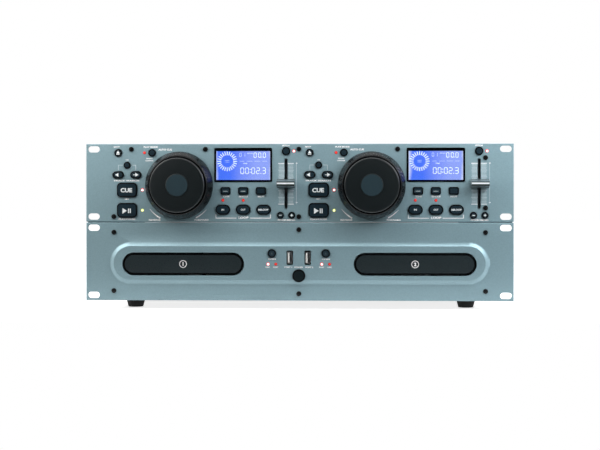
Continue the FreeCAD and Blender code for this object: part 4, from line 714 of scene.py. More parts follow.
def sorted_solids(node: str, sort: Callable[[Vector, Vector], tuple[str, Finish] | None]) -> None:
    """Split a CAD node on the cases by finish into pieces that together stand for it.

    Args:
        node: the CAD node.
        sort: takes a solid's middle and size in millimetres and returns a piece name and a finish, or None
            where another piece stands for it.
    """
    lots: dict[str, tuple[Finish, bmesh.types.BMesh]] = {}
    for part in islands(node):
        low, high = extent(part)
        lot = sort((low + high) / 2 / MM, (high - low) / MM)
        if lot is None:
            part.free()
            continue
        name, finish = lot
        if name not in lots:
            lots[name] = (finish, bmesh.new())
        take_in(lots[name][1], part)
    for name, (finish, shape) in lots.items():
        dress(solid_from(f"{node}_{name}", shape), finish, CASES, [node])


def lathe(name: str, profile: Sequence[Point], axis: Point, segments: int) -> bpy.types.Object:
    """Turn a profile round an axis along Y.

    Args:
        name: the object's name.
        profile: radius and y of each point; both ends lie on the axis, or the profile closes itself.
        axis: x and z of the axis.
        segments: steps round the axis.
    Returns:
        The new object.
    """
    shape = bmesh.new()
    turns = [2 * math.pi * step / segments for step in range(segments)]
    x, z = axis
    rings = []
    for radius, y in profile:
        if radius:
            rings.append([shape.verts.new((x + radius * math.cos(turn), y, z + radius * math.sin(turn)))
                          for turn in turns])
        else:
            rings.append([shape.verts.new((x, y, z))] * segments)
    following = rings[1:] + rings[:1] if profile[0][0] else rings[1:]
    for first, second in zip(rings, following):
        for step in range(segments):
            after = (step + 1) % segments
            corners = list(dict.fromkeys((first[step], first[after], second[after], second[step])))
            if len(corners) > 2:
                shape.faces.new(corners)
    return solid_from(name, shape, 40.0)


def arc(centre: Point, radius: float, start: float, end: float, steps: int) -> list[Point]:
    """Return points along an arc, angles in degrees."""
    turns = [math.radians(start + (end - start) * step / steps) for step in range(steps + 1)]
    return [(centre[0] + radius * math.cos(turn), centre[1] + radius * math.sin(turn)) for turn in turns]


def scaled_cube(size: Sequence[float], middle: Sequence[float] = (0.0, 0.0, 0.0)) -> bmesh.types.BMesh:
    """Return a block.

    Args:
        size: its lengths along X, Y and Z in millimetres.
        middle: its middle in millimetres.
    Returns:
        The block's shape.
    """
    shape = bmesh.new()
    bmesh.ops.create_cube(shape, size=1.0)
    matrix = Matrix.Translation(Vector(middle) * MM) @ Matrix.Diagonal((*(length * MM for length in size), 1))
    bmesh.ops.transform(shape, matrix=matrix, verts=shape.verts)
    return shape


# ---------------------------------------------------------------- repeats


@dataclass
class Repeater:
    """A Geometry Nodes tree that stands one shape on every point of a mesh."""

    tree: bpy.types.NodeTree = field(init=False)

    def __post_init__(self) -> None:
        """Build the tree: points in, shapes turned by the attribute "turn", made real, finished."""
        tree = bpy.data.node_groups.new("stand_on_points", "GeometryNodeTree")
        for label, kind in (("Points", "NodeSocketGeometry"), ("Shape", "NodeSocketObject"),
                            ("Finish", "NodeSocketMaterial")):
            tree.interface.new_socket(label, in_out="INPUT", socket_type=kind)
        tree.interface.new_socket("Shapes", in_out="OUTPUT", socket_type="NodeSocketGeometry")
        given = add_node(tree, "NodeGroupInput").outputs
        turn = add_node(tree, "GeometryNodeInputNamedAttribute", {"Name": "turn"}, data_type="FLOAT_VECTOR")
        shape = add_node(tree, "GeometryNodeObjectInfo", {"Object": given["Shape"]})
        stood = add_node(tree, "GeometryNodeInstanceOnPoints",
                         {"Points": given["Points"], "Instance": shape.outputs["Geometry"],
                          "Rotation": turn.outputs["Attribute"]})
        real = add_node(tree, "GeometryNodeRealizeInstances", {"Geometry": stood.outputs["Instances"]})
        finished = add_node(tree, "GeometryNodeSetMaterial",
                            {"Geometry": real.outputs["Geometry"], "Material": given["Finish"]})
        add_node(tree, "NodeGroupOutput", {"Shapes": finished.outputs["Geometry"]})
        self.tree = tree

    def stand(self, name: str, shape: bpy.types.Object, places: Sequence[tuple[Vector, float]],
              finish: Finish) -> bpy.types.Object:
        """Stand a shape, modelled at the origin, at each place, and remove the shape.

        Args:
            name: the new piece's name.
            shape: the shape's object.
            places: a place and a turn about Y, in radians, for each copy.
            finish: the copies' surface.
        Returns:
            The plain mesh object with all copies.
        """
        points = bpy.data.meshes.new(f"{name}_points")
        points.from_pydata([place for place, _ in places], [], [])
        turns = points.attributes.new("turn", "FLOAT_VECTOR", "POINT")
        for item, (_, turn) in zip(turns.data, places):
            item.vector = (0.0, turn, 0.0)
        carrier = link(f"{name}_carrier", points)
        modifier = carrier.modifiers.new("repeat", "NODES")
        modifier.node_group = self.tree
        sockets = {item.name: item.identifier for item in self.tree.interface.items_tree
                   if item.in_out == "INPUT"}
        modifier[sockets["Shape"]] = shape
        modifier[sockets["Finish"]] = finish.build()
        evaluated = carrier.evaluated_get(bpy.context.evaluated_depsgraph_get())
        mesh = bpy.data.meshes.new_from_object(evaluated)
        mesh.name = name
        bpy.data.objects.remove(carrier)
        bpy.data.objects.remove(shape)
        mesh.set_sharp_from_angle(angle=math.radians(32))
        return link(name, mesh)


# ---------------------------------------------------------------- printing


@dataclass
class Ink:
    """Flat marks on one face that looks along -Y, gathered into one thin piece.

    Places are in millimetres from (x, z), and the face lies at y = face. weight is how much bolder the
    letters are than the plain font. A line's corner is at most its width over mitre wide.
    """

    name: str
    finish: Finish
    face: float
    x: float = 0.0
    z: float = 0.0
    body: str = CASES
    proud: float = 0.05
    sunk: float = 0.03
    weight: float = 0.042
    mitre: float = 0.3
    shape: bmesh.types.BMesh = field(default_factory=bmesh.new)

    def plate(self, points: Sequence[Point]) -> None:
        """Add a filled outline as a thin plate.

        Args:
            points: its corners, in millimetres.
        """
        levels = ((self.face - self.proud) * MM, (self.face + self.sunk) * MM)
        front, back = ([self.shape.verts.new(((self.x + x) * MM, level, (self.z + z) * MM))
                        for x, z in points] for level in levels)
        self.shape.faces.new(front)
        self.shape.faces.new(list(reversed(back)))
        for index, corner in enumerate(front):
            after = (index + 1) % len(front)
            self.shape.faces.new((corner, back[index], back[after], front[after]))

    def box(self, x: float, z: float, width: float, height: float) -> None:
        """Add a filled rectangle about (x, z)."""
        self.plate([(x - width / 2, z - height / 2), (x + width / 2, z - height / 2),
                    (x + width / 2, z + height / 2), (x - width / 2, z + height / 2)])

    def strip(self, points: Sequence[Point], widths: Sequence[float]) -> None:
        """Add a mitred line.

        Args:
            points: the line's points, in millimetres.
            widths: the line's width at each point, or one width for all.
        """
        spans = [Vector((after[0] - here[0], after[1] - here[1])).normalized()
                 for here, after in zip(points, points[1:])]
        near, far = [], []
        for index, (x, z) in enumerate(points):
            before, after = spans[max(index - 1, 0)], spans[min(index, len(spans) - 1)]
            across = Vector((-before.y - after.y, before.x + after.x)).normalized()
            lean = max(self.mitre, across.dot(Vector((-after.y, after.x))))
            half = widths[min(index, len(widths) - 1)] / 2 / lean
            near.append((x + across.x * half, z + across.y * half))
            far.append((x - across.x * half, z - across.y * half))
        for index in range(len(spans)):
            self.plate([near[index], far[index], far[index + 1], near[index + 1]])

    def words(self, text: str, x: float, z: float, height: float, width: float = 0.0) -> None:
        """Add lettering about (x, z).

        Args:
            text: the letters.
            x: middle of the text, in millimetres.
            z: middle of the text, in millimetres.
            height: the capitals' height in millimetres.
            width: the text's width in millimetres, or 0 for its own proportion.
        """
        curve = bpy.data.curves.new("lettering", "FONT")
        curve.body, curve.extrude, curve.resolution_u, curve.offset = text, 0.5, 3, self.weight
        carrier = link("lettering", curve)
        mesh = bpy.data.meshes.new_from_object(carrier.evaluated_get(bpy.context.evaluated_depsgraph_get()))
        bpy.data.objects.remove(carrier)
        corners = [vertex.co for vertex in mesh.vertices]
        low, high = ([limit(corner[axis] for corner in corners) for axis in (0, 1)] for limit in (min, max))
        up = height / (high[1] - low[1])
        along = width / (high[0] - low[0]) if width else up
        for corner in corners:
            depth = self.proud if corner.z > 0 else -self.sunk
            corner.xyz = ((self.x + x + (corner.x - (low[0] + high[0]) / 2) * along) * MM,
                          (self.face - depth) * MM,
                          (self.z + z + (corner.y - (low[1] + high[1]) / 2) * up) * MM)
        self.shape.from_mesh(mesh)
        bpy.data.meshes.remove(mesh)
        bpy.data.curves.remove(curve)

    def done(self) -> None:
        """Turn the marks into a piece on their body."""
        dress(solid_from(self.name, self.shape, 20.0), self.finish, self.body)


def play_mark(ink: Ink, x: float, z: float, size: float, turn: float = 0.0) -> None:
    """Add a filled triangle that points to +X, turned by degrees.

    Args:
        ink: the marks to add to.
        x: its middle.
        z: its middle.
        size: its height.
        turn: degrees counter-clockwise.
    """
    cos, sin = math.cos(math.radians(turn)), math.sin(math.radians(turn))
    corners = ((0.5, 0.0), (-0.4, 0.55), (-0.4, -0.55))
    ink.plate([(x + size * (a * cos - b * sin), z + size * (a * sin + b * cos)) for a, b in corners])


def eject_mark(ink: Ink, size: float) -> None:
    """Add a triangle over a bar about the ink's middle.

    Args:
        ink: the marks to add to.
        size: the sign's height.
    """
    rise, arrow, drop, width, height = (size * share for share in (0.12, 0.82, 0.44, 0.88, 0.17))
    play_mark(ink, 0, rise, arrow, 90.0)
    ink.box(0, -drop, width, height)


@dataclass(frozen=True)
class Bracket:
    """A printed corner on each side of a middle, in millimetres: a row from near to edge, then up or down."""

    middle: float
    near: float
    edge: float
    row: float
    end: float

    def corner(self, side: int) -> list[Point]:
        """Return the points of the corner on one side, from its upright end."""
        edge = self.middle + side * self.edge
        return [(edge, self.end), (edge, self.row), (self.middle + side * self.near, self.row)]


@dataclass
class DeckPrinting:
    """The printing round one deck's controls.

    Places are in millimetres from the deck's centre line and the panel's middle.
    """

    deck: Deck
    face: float
    x: float
    z: float
    jog: Point = (-26.6, -2.9)
    arcs: tuple[tuple[float, float, float], ...] = ((43.0, 218.0, 239.5), (41.0, 318.0, 297.0))
    arc_steps: int = 16
    arc_width: float = 0.3
    arc_growth: float = 0.09
    loop: Bracket = Bracket(middle=45.6, near=7.6, edge=30.9, row=-39.8, end=-35.6)
    loop_line: float = 0.75
    search: Bracket = Bracket(middle=-86.2, near=5.0, edge=9.9, row=20.1, end=14.4)
    search_line: float = 0.4
    fader: float = 94.1
    scale_foot: float = -24.0
    scale_line: tuple[float, float, float] = (11.7, -24.0, 22.5)
    scale_weight: float = 0.35
    scale_sides: tuple[Point, ...] = ((-5.3, 7.0), (5.3, 6.8))
    rung_pitch: float = 1.53
    rungs: int = 31
    rung_height: float = 0.42
    fifth_height: float = 0.6
    bold_height: float = 0.75
    fifth_longer: float = 1.0
    signs: tuple[float, float, float] = (11.9, -22.2, 22.0)
    sign_arm: float = 1.0
    sign_line: float = 0.6
    slot: Point = (2.7, 57.0)
    slot_row: float = -0.8
    seal: float = 0.5
    seal_outset: float = 0.2
    seal_shorter: float = 1.0
    seal_depth: float = 0.4

    def ink(self, name: str, finish: Finish, sunk: float = 0.03) -> Ink:
        """Start a piece of this deck's printing."""
        return Ink(f"{name}_{self.deck.value}", finish, self.face, self.x, self.z, sunk=sunk)

    def labels(self) -> None:
        """Print the words round the keys: text, x, z, height and width of each."""
        ink = self.ink("labels", WHITE_INK)
        for label in (
                ("EJECT", -98.0, 40.6, 1.7, 6.8), ("PLAY MODE", -59.4, 40.6, 1.8, 16.0),
                ("SINGLE", -60.9, 27.6, 1.3, 7.0), ("CONTINUE", -60.9, 25.1, 1.3, 9.0),
                ("AUTO CUE", -42.9, 37.6, 2.1, 15.6), ("+10", -86.2, 26.0, 1.4, 3.2),
                ("TRACK SEARCH", -87.0, 2.5, 1.7, 29.0), ("SET", -86.4, -18.2, 1.6, 5.6),
                ("PLAY/PAUSE", -86.3, -41.0, 1.9, 19.0), ("REVERSE", -54.9, -41.9, 1.9, 13.4),
                ("FORWARD", -1.6, -41.9, 1.9, 16.0), ("TIME", 26.2, -15.3, 1.7, 7.6),
                ("SINGLE", 45.8, -15.3, 1.7, 10.2), ("RELAY", 66.0, -15.3, 1.7, 8.0),
                ("LOOP", 45.9, -39.4, 2.6, 11.5), ("PITCH", 93.9, 42.0, 1.7, 8.0),
                ("PITCH BEND", 94.6, -41.9, 1.9, 19.6)):
            ink.words(*label)
        ink.done()

    def lines(self) -> None:
        """Print the arcs under the jog wheel, the brackets and the scale's line."""
        ink = self.ink("lines", WHITE_INK)
        widths = [self.arc_width + self.arc_growth * step for step in range(self.arc_steps + 1)]
        for radius, start, end in self.arcs:
            ink.strip(arc(self.jog, radius, start, end, self.arc_steps), widths)
        for side in (-1, 1):
            ink.strip(self.loop.corner(side), [self.loop_line])
        ink.done()
        faint = self.ink("faint_lines", PALE_INK)
        for side in (-1, 1):
            faint.strip(self.search.corner(side)[::-1], [self.search_line])
        aside, foot, top = self.scale_line
        faint.strip([(self.fader + aside, foot), (self.fader + aside, top)], [self.scale_weight])
        faint.done()

    def scale(self) -> None:
        """Print the fader's scale: fine rungs on both sides, longer and bolder at its ends and middle."""
        fine, bold = self.ink("scale", PALE_INK), self.ink("scale_ends", WHITE_INK)
        for rung in range(self.rungs):
            fifth = rung % 5 == 0
            ink, height = fine, self.fifth_height if fifth else self.rung_height
            if rung in (0, self.rungs // 2, self.rungs - 1):
                ink, height = bold, self.bold_height
            for x, width in self.scale_sides:
                ink.box(self.fader + x, self.scale_foot + rung * self.rung_pitch,
                        width if fifth else width - self.fifth_longer, height)
        aside, minus, plus = self.fader + self.signs[0], *self.signs[1:]
        for row in (minus, plus):
            bold.strip([(aside - self.sign_arm, row), (aside + self.sign_arm, row)], [self.sign_line])
        bold.strip([(aside, plus - self.sign_arm), (aside, plus + self.sign_arm)], [self.sign_line])
        fine.done()
        bold.done()

    def seal_in_slot(self) -> None:
        """Lay the dust seal's black edges along both sides of the fader's slot."""
        width, height = self.slot
        ink = self.ink("fader_seal", SEAL_BLACK_AND_PAINTED_SHADE, self.seal_depth)
        for side in (-1, 1):
            ink.box(self.fader + side * (width / 2 + self.seal_outset), self.slot_row, self.seal,
                    height - self.seal_shorter)
        ink.done()

    def build(self) -> None:
        """Print everything of this deck."""
        self.seal_in_slot()
        self.labels()
        self.lines()
        self.scale()


@dataclass
class KeyMarks:
    """The marks on the keys, in millimetres from each key's middle; each rides on its own key."""

    proud: float = 0.04

    def on(self, key: str, draw: Callable[[Ink], None], finish: Finish = KEY_INK) -> None:
        """Draw one key's marks about its middle.

        Args:
            key: the key's node and body.
            draw: adds the marks.
            finish: their ink.
        """
        spot = Spot.of(key)
        ink = Ink(f"{key}_mark", finish, spot.front, spot.x, spot.z, key, self.proud)
        draw(ink)
        ink.done()

    def mark_deck(self, end: str) -> None:
        """Mark one deck's keys.

        Args:
            end: the deck's letter, with which its keys' names close.
        """
        self.on(f"eject_key_{end}", lambda ink: eject_mark(ink, 4.4))
        self.on(f"track_back_key_{end}", lambda ink: play_mark(ink, -1.3, 0, size=4.2, turn=180.0))
        self.on(f"track_next_key_{end}", self.next_mark)
        self.on(f"cue_key_{end}", lambda ink: ink.words("CUE", -0.6, -0.3, height=5.0, width=13.2))
        self.on(f"play_key_{end}", self.play_and_pause)
        for key, text, width in (("loop_in", "IN", 3.2), ("loop_out", "OUT", 5.4),
                                 ("reloop", "RELOOP", 11.4)):
            self.on(f"{key}_key_{end}", lambda ink, text=text, width=width: ink.words(text, 0, 0, 2.1, width))
        for key in ("time", "single"):
            self.on(f"{key}_key_{end}", lambda ink: ink.strip([(-2.6, -0.4), (2.6, -0.4)], [0.5]), PALE_INK)
        self.on(f"bend_down_key_{end}", self.minus)
        self.on(f"bend_up_key_{end}", self.plus)

    def next_mark(self, ink: Ink) -> None:
        """Add the arrow of the next-track key."""
        play_mark(ink, 1.2, 0, size=4.2)
        ink.box(-1.6, 0, width=2.6, height=0.7)

    def play_and_pause(self, ink: Ink) -> None:
        """Add a triangle and two bars.

        Args:
            ink: the marks to add to.
        """
        play_mark(ink, -2.7, -0.6, size=6.0)
        for x in (1.9, 3.9):
            ink.box(x, -0.6, width=1.2, height=5.2)

    def minus(self, ink: Ink) -> None:
        """Add a minus sign."""
        ink.box(0, 0, width=3.0, height=0.9)

    def plus(self, ink: Ink) -> None:
        """Add a plus sign: the minus and an arm above and below it.

        Args:
            ink: the marks to add to.
        """
        self.minus(ink)
        for z in (1.0, -1.0):
            ink.box(0, z, width=0.9, height=1.05)

    def build(self) -> None:
        """Mark every key that has a mark."""
        for deck in Deck:
            self.mark_deck(deck.value)
            self.on(f"open_key_{deck.value}", lambda ink: eject_mark(ink, 2.6), DIM_INK)


@dataclass
class PlayerPrinting:
    """The printing in the middle of the disc unit, in millimetres from the middle of its panel."""

    face: float
    z: float
    row: float = -6.2
    height: float = 1.7

    def build(self) -> None:
        """Print the words under the open keys, the lamps and the ports."""
        ink = Ink("player_labels", WHITE_INK, self.face, 0.0, self.z)
        for side in (-1, 1):
            for text, x, z, height, width in (
                    ("OPEN", 30.3, 2.9, 1.6, 8.8), ("PORT", 25.9, self.row, 1.5, 5.6),
                    ("DISC", 34.9, self.row, 1.5, 5.0)):
                ink.words(text, side * x, z, height, width)
        for text, x, width in (("PORT 1", -11.9, 8.6), ("POWER", 0.0, 9.8), ("PORT 2", 11.9, 8.6)):
            ink.words(text, x, self.row, self.height, width)
        ink.done()


# ---------------------------------------------------------------- sub-assemblies


@dataclass
class JogWheel:
    """One jog wheel: a polished shuttle ring on its neck and a grooved dial on its shaft.

    Radii are from the wheel's axis and heights in front of the panel's face, in millimetres. Each rounding
    has an inset, where the middle of its curve lies.
    """

    deck: Deck
    face: float
    steps: int = 160
    lift: float = 0.6
    floor: float = 3.0
    rim: float = 8.0
    bore: float = 31.2
    lip: float = 33.0
    height: float = 20.5
    slope_shares: tuple[float, ...] = (0.12, 0.4, 0.7, 0.93)
    bore_round: float = 0.5
    bore_inset: float = 0.15
    lip_round: float = 0.6
    lip_inset: Point = (0.15, 0.2)
    rim_round: float = 2.0
    rim_inset: Point = (0.12, 0.7)
    foot_round: float = 0.8
    foot_inset: float = 0.25
    neck: Point = (9.0, -7.5)
    collar: Point = (12.0, -10.0)
    shaft_bore: float = 6.1
    dial_gap: float = 0.6
    dial_height: float = 25.4
    shoulder: float = 1.2
    shoulder_steps: int = 6
    wall: float = 4.0
    skirt: float = 5.0
    shaft: Point = (6.0, -13.2)
    centre_radius: float = 12.7
    centre_height: float = 0.6
    centre_round: Point = (0.5, 0.45)
    centre_inset: float = 0.15
    label_margin: float = 0.7
    label_thick: float = 0.2
    label_proud: float = 0.03

    def turned(self, name: str, outline: Sequence[Point], node: str, steps: int) -> bpy.types.Object:
        """Turn an outline round a node's axis.

        Args:
            name: the piece's name.
            outline: its radii and heights.
            node: the CAD node.
            steps: steps round the axis.
        Returns:
            The piece.
        """
        spot = Spot.of(node)
        profile = [(radius * MM, (self.face - up) * MM) for radius, up in outline]
        return lathe(name, profile, (spot.x * MM, spot.z * MM), steps)

    def ring(self) -> None:
        """Turn the ring, with its bulging slope and rounded lip."""
        node = f"shuttle_ring_{self.deck.value}"
        radius, top = Spot.of(node).width / 2, self.height
        slope = [(self.lip + (radius - self.lip) * share, top - (top - self.rim) * share)
                 for share in self.slope_shares]
        outline = [
            (self.bore, self.floor), (self.bore, top - self.bore_round),
            (self.bore + self.bore_inset, top - self.bore_inset), (self.bore + self.bore_round, top),
            (self.lip - self.lip_round, top), (self.lip - self.lip_inset[0], top - self.lip_inset[1]), *slope,
            (radius - self.rim_inset[0], self.rim - self.rim_inset[1]), (radius, self.rim - self.rim_round),
            (radius, self.lift + self.foot_round),
            (radius - self.foot_inset, self.lift + self.foot_inset), (radius - self.foot_round, self.lift),
            (self.neck[0], self.lift), self.neck, (self.collar[0], self.neck[1]), self.collar,
            (self.shaft_bore, self.collar[1]), (self.shaft_bore, self.floor)]
        ring = self.turned(f"{node}_turned", outline, node, self.steps)
        dress(ring, RING_ABS, node, [node])

    def dial(self) -> None:
        """Turn the dial, with its rounded shoulder, its raised centre disc and the disc's plain label."""
        node = f"jog_dial_{self.deck.value}"
        radius, centre = self.bore - self.dial_gap, self.centre_radius
        turns = [math.radians(90 * step / self.shoulder_steps) for step in range(self.shoulder_steps + 1)]
        shoulder = [(radius - self.shoulder + self.shoulder * math.sin(turn),
                     self.dial_height - self.shoulder + self.shoulder * math.cos(turn)) for turn in turns]
        top, under = self.dial_height + self.centre_height, self.dial_height - self.wall
        disc = top - self.label_proud
        outline = [
            (0.0, disc), (centre - self.centre_round[0], disc),
            (centre - self.centre_inset, top - self.centre_inset), (centre, top - self.centre_round[1]),
            (centre, self.dial_height), *shoulder, (radius, self.skirt), (radius - self.wall, self.skirt),
            (radius - self.wall, under), (self.shaft[0], under), self.shaft, (0.0, self.shaft[1])]
        spot = Spot.of(node)
        finish = TurnedGrooves(f"dial_turned_abs_{self.deck.value}", "#0C1315", 0.34, grain=0.6, depth=0.01,
                               mottling=25.0, variation=0.05, ior=1.53,
                               centre=(spot.x * MM, self.face * MM, spot.z * MM))
        dress(self.turned(f"{node}_turned", outline, node, self.steps), finish, node, [node])
        edge, back = centre - self.label_margin, top - self.label_thick
        label = [(0.0, top), (edge, top), (edge, back), (0.0, back)]
        dress(self.turned(f"{node}_centre_label", label, node, 96), CENTRE_LABEL, node)

    def build(self) -> None:
        """Build the ring and the dial."""
        self.ring()
        self.dial()


@dataclass
class FaderKnob:
    """One pitch fader knob: a grey block with a white band over a black pointer line, and dark edges. The
    pointer line is painted shade in the knob's groove, and the dark edges are painted shade and shadow along
    its top and bottom.

    Rows are in millimetres from the knob's middle. An inset is how much shorter than the knob a band is.
    """

    deck: Deck
    face: float
    proud: float = 16.0
    rounding: float = 0.25
    band: float = 1.5
    band_row: float = 0.05
    band_inset: float = 0.9
    pointer: float = 1.2
    pointer_row: float = -2.15
    pointer_inset: float = 0.5
    height: float = 9.5
    # The edge strips are painted shade and shadow along the knob's top and bottom.
    edge: float = 0.5
    edge_level: float = 6.0
    edge_reach: Point = (0.3, 3.6)
    edge_outset: float = 0.02
    edge_longer: float = 0.2

    def build(self) -> None:
        """Finish the CAD knob and lay its bands."""
        node = f"pitch_fader_knob_{self.deck.value}"
        finished_node(node, KNOB_GREY, node, self.rounding)
        spot = Spot.of(node)
        place = dict(x=spot.x, z=spot.z, body=node)
        for name, finish, row, width, height in (
                ("white_band", KEY_INK, self.band_row, spot.width - self.band_inset, self.band),
                ("pointer", SEAL_BLACK_AND_PAINTED_SHADE, self.pointer_row, spot.width - self.pointer_inset, self.pointer)):
            band = Ink(f"{node}_{name}", finish, self.face - self.proud, **place)
            band.box(0, row, width, height)
            band.done()
        # Painted shade: dark strips along the knob's top and bottom.
        proud, sunk = self.edge_reach
        edges = Ink(f"{node}_edges", SEAL_BLACK_AND_PAINTED_SHADE, self.face - self.edge_level, **place, proud=proud, sunk=sunk)
        row = self.height / 2 + self.edge_outset
        for side in (-1, 1):
            edges.box(0, side * row, spot.width + self.edge_longer, self.edge)
        edges.done()


@dataclass
class Display:
    """One display: a bezel, a clear window, and a backlit cell with its lit segments.

    Depths are behind the panel's face and places from the display's middle, in millimetres.
    """

    deck: Deck
    face: float
    centre: Point
    width: float = 61.0
    height: float = 34.0
    glass: Point = (0.9, 1.65)
    cell: Point = (1.9, 6.9)
    holder: Point = (7.0, 18.0)
    mask: float = 1.4
    dial: Point = (-18.2, 4.1)
    dial_inner: float = 6.9
    dial_outer: float = 11.2
    dial_bars: int = 24
    bar_width: float = 0.8
    bar_thick: float = 0.1
    bar_lift: float = 0.07
    digit_width: float = 0.52
    segment_gap: float = 0.9
    dot: float = 0.8
    line: float = 0.35
    mark_proud: float = 0.12
    dial_bar_rows: Point = (-0.9, 0.9)
    dial_bar_width: float = 4.6

    def slab(self, name: str, depths: Point, finish: Finish) -> None:
        """Add a block the size of the window.

        Args:
            name: the piece's name, without its deck.
            depths: its front and back, behind the panel's face.
            finish: its surface.
        """
        near, far = depths
        middle = (self.centre[0], self.face + (near + far) / 2, self.centre[1])
        shape = scaled_cube((self.width, far - near, self.height), middle)
        dress(solid_from(f"{name}_{self.deck.value}", shape), finish, CASES, ["display_modules"])

    def number(self, ink: Ink, digits: str, places: Sequence[float], z: float, high: float,
               stroke: float) -> None:
        """Add seven-segment digits in a row.

        Args:
            ink: the marks to add to.
            digits: the digits, of which 0 to 3 are known.
            places: each digit's middle.
            z: the row.
            high: their height.
            stroke: their segments' width.
        """
        wide, half, gap = high * self.digit_width, high / 2, stroke * self.segment_gap
        segments = {"a": (0, half, 1), "g": (0, 0, 1), "d": (0, -half, 1),
                    "f": (-wide / 2, half / 2, 0), "b": (wide / 2, half / 2, 0),
                    "e": (-wide / 2, -half / 2, 0), "c": (wide / 2, -half / 2, 0)}
        lit = {"0": "abcdef", "1": "bc", "2": "abged", "3": "abgcd"}
        for digit, x in zip(digits, places):
            for across, up, flat in (segments[letter] for letter in lit[digit]):
                span = (wide if flat else half) - gap
                ink.box(x + across, z + up, span if flat else stroke, stroke if flat else span)

    def marks(self) -> None:
        """Light the digits, the points between them and the small signs."""
        place = (self.face + self.cell[0], *self.centre)
        ink = Ink(f"display_digits_{self.deck.value}", SEGMENT, *place, proud=self.mark_proud, sunk=0.0)
        self.number(ink, "000", (13.4, 18.6, 23.8), z=11.0, high=5.2, stroke=0.6)
        self.number(ink, "00023", (-1.2, 4.2, 11.2, 16.6, 23.4), z=-6.6, high=6.6, stroke=0.6)
        for x, z in ((7.7, -5.0), (7.7, -8.2), (20.0, -9.6), (21.1, 8.6)):
            ink.box(x, z, self.dot, self.dot)
        ink.done()
        faint = Ink(f"display_signs_{self.deck.value}", FAINT_SEGMENT, *place, proud=self.mark_proud,
                    sunk=0.0)
        self.number(faint, "01", (-3.2, 0.8), z=11.4, high=4.0, stroke=0.5)
        for x, width in ((-1.5, 5.0), (7.0, 6.5), (15.8, 6.5), (24.2, 5.0)):
            faint.box(x, 4.2, width, self.line)
        for up in self.dial_bar_rows:
            faint.box(self.dial[0], self.dial[1] + up, self.dial_bar_width, self.line)
        faint.words("TIME", 2.0, 1.6, height=1.3, width=5.0)
        faint.words("PITCH", 7.6, 13.0, height=1.3, width=6.0)
        faint.done()

    def platter(self, repeater: Repeater) -> None:
        """Stand the ring of radial bars that shows the disc's turn.

        Args:
            repeater: stands the bars in place.
        """
        bar = scaled_cube((self.dial_outer - self.dial_inner, self.bar_thick, self.bar_width))
        radius = (self.dial_inner + self.dial_outer) / 2
        places = []
        for step in range(self.dial_bars):
            turn = 2 * math.pi * step / self.dial_bars
            place = Vector((self.centre[0] + self.dial[0] + radius * math.cos(turn),
                            self.face + self.cell[0] - self.bar_lift,
                            self.centre[1] + self.dial[1] + radius * math.sin(turn))) * MM
            places.append((place, -turn))
        name = f"display_platter_{self.deck.value}"
        dress(repeater.stand(name, solid_from("bar", bar), places, SEGMENT), SEGMENT)

    def build(self, repeater: Repeater) -> None:
        """Build the cell, the window and what is lit.

        Args:
            repeater: stands the bars of the platter ring.
        """
        left, right = ((self.centre[0] + side * self.width / 2) * MM for side in (-1, 1))
        light = Backlight(f"display_backlight_{self.deck.value}", "#4676FF", 0.4, left=left, right=right)
        self.slab("display_cell", self.cell, light)
        self.slab("display_glass", self.glass, WINDOW)
        self.slab("display_holder", self.holder, DRIVE_ABS)
        mask = Ink(f"display_mask_{self.deck.value}", BEZEL_ABS, self.face + self.cell[0], *self.centre,
                   sunk=-0.01)
        mask.box(0.0, self.height / 2 - self.mask / 2, self.width, self.mask)
        mask.done()
        self.marks()
        self.platter(repeater)


@dataclass
class Lamps:
    """The indicator lamps: domed lenses on light pipes, some lit.

    A profile is a list of shares of the radius and depths behind the dome's top, in millimetres.
    """

    radius: float = 1.75
    dome: tuple[Point, ...] = ((0.0, 0.0), (0.35, 0.02), (0.7, 0.12), (0.92, 0.3), (1.0, 0.55))
    core: tuple[Point, ...] = ((0.0, 0.0), (0.44, 0.015), (0.68, 0.06), (0.0, 0.2))
    # The core sits low and aside, so the lens's top stays dim: painted shade from the lamp's recess.
    core_shift: Point = (0.1, -0.15)
    player_top: float = 90.0
    busy: tuple[int, ...] = (-35, 26)
    pitch_side: float = 90.0
    mode_row: float = 160.0
    cue_row: float = 125.0

    def state(self, x: float, z: float) -> Glow:
        """Choose a lamp's state from its place in millimetres.

        Args:
            x: the lamp's middle.
            z: the lamp's middle.
        Returns:
            How it glows.
        """
        if z < self.player_top:
            return Glow.RED_ON if round(x) in self.busy else Glow.RED_OFF
        across = x - math.copysign(DECK_MIDDLE, x)
        if across > 0:
            return Glow.RED_ON if across > self.pitch_side else Glow.RED_OFF
        if z > self.mode_row:
            return Glow.RED_OFF
        return Glow.RED_ON if z > self.cue_row else Glow.GREEN_ON

    def finishes(self, glow: Glow) -> tuple[Finish, Finish]:
        """Make a lamp's finishes.

        Args:
            glow: how the lamp shows.
        Returns:
            The finishes of its lens and its core.
        """
        lens, core, dim, bright = glow.value
        name = glow.name.lower()
        return (Lit(f"lamp_{name}_epoxy", lens, 0.2, strength=dim, grain=0.4, depth=0.002, mottling=3.0),
                Lit(f"lamp_{name}_core", core, 0.3, strength=bright, grain=0.4, depth=0.002, mottling=3.0))

    def build(self) -> None:
        """Turn every lamp's lens and core."""
        radius, (aside, down) = self.radius * MM, self.core_shift
        parts = sorted(islands("indicator_lamps"), key=lambda part: tuple(extent(part)[0]))
        for number, part in enumerate(parts):
            low, high = extent(part)
            part.free()
            x, z = (low.x + high.x) / 2, (low.z + high.z) / 2
            lens, core = self.finishes(self.state(x / MM, z / MM))
            dome, spot = ([(radius * share, low.y + depth * MM) for share, depth in profile]
                          for profile in (self.dome, self.core))
            lens_shape = lathe(f"lamp_{number}", [*dome, (radius, high.y), (0.0, high.y)], (x, z), 32)
            dress(lens_shape, lens, CASES, ["indicator_lamps"])
            dress(lathe(f"lamp_{number}_core", spot, (x + aside * MM, z + down * MM), 24), core)


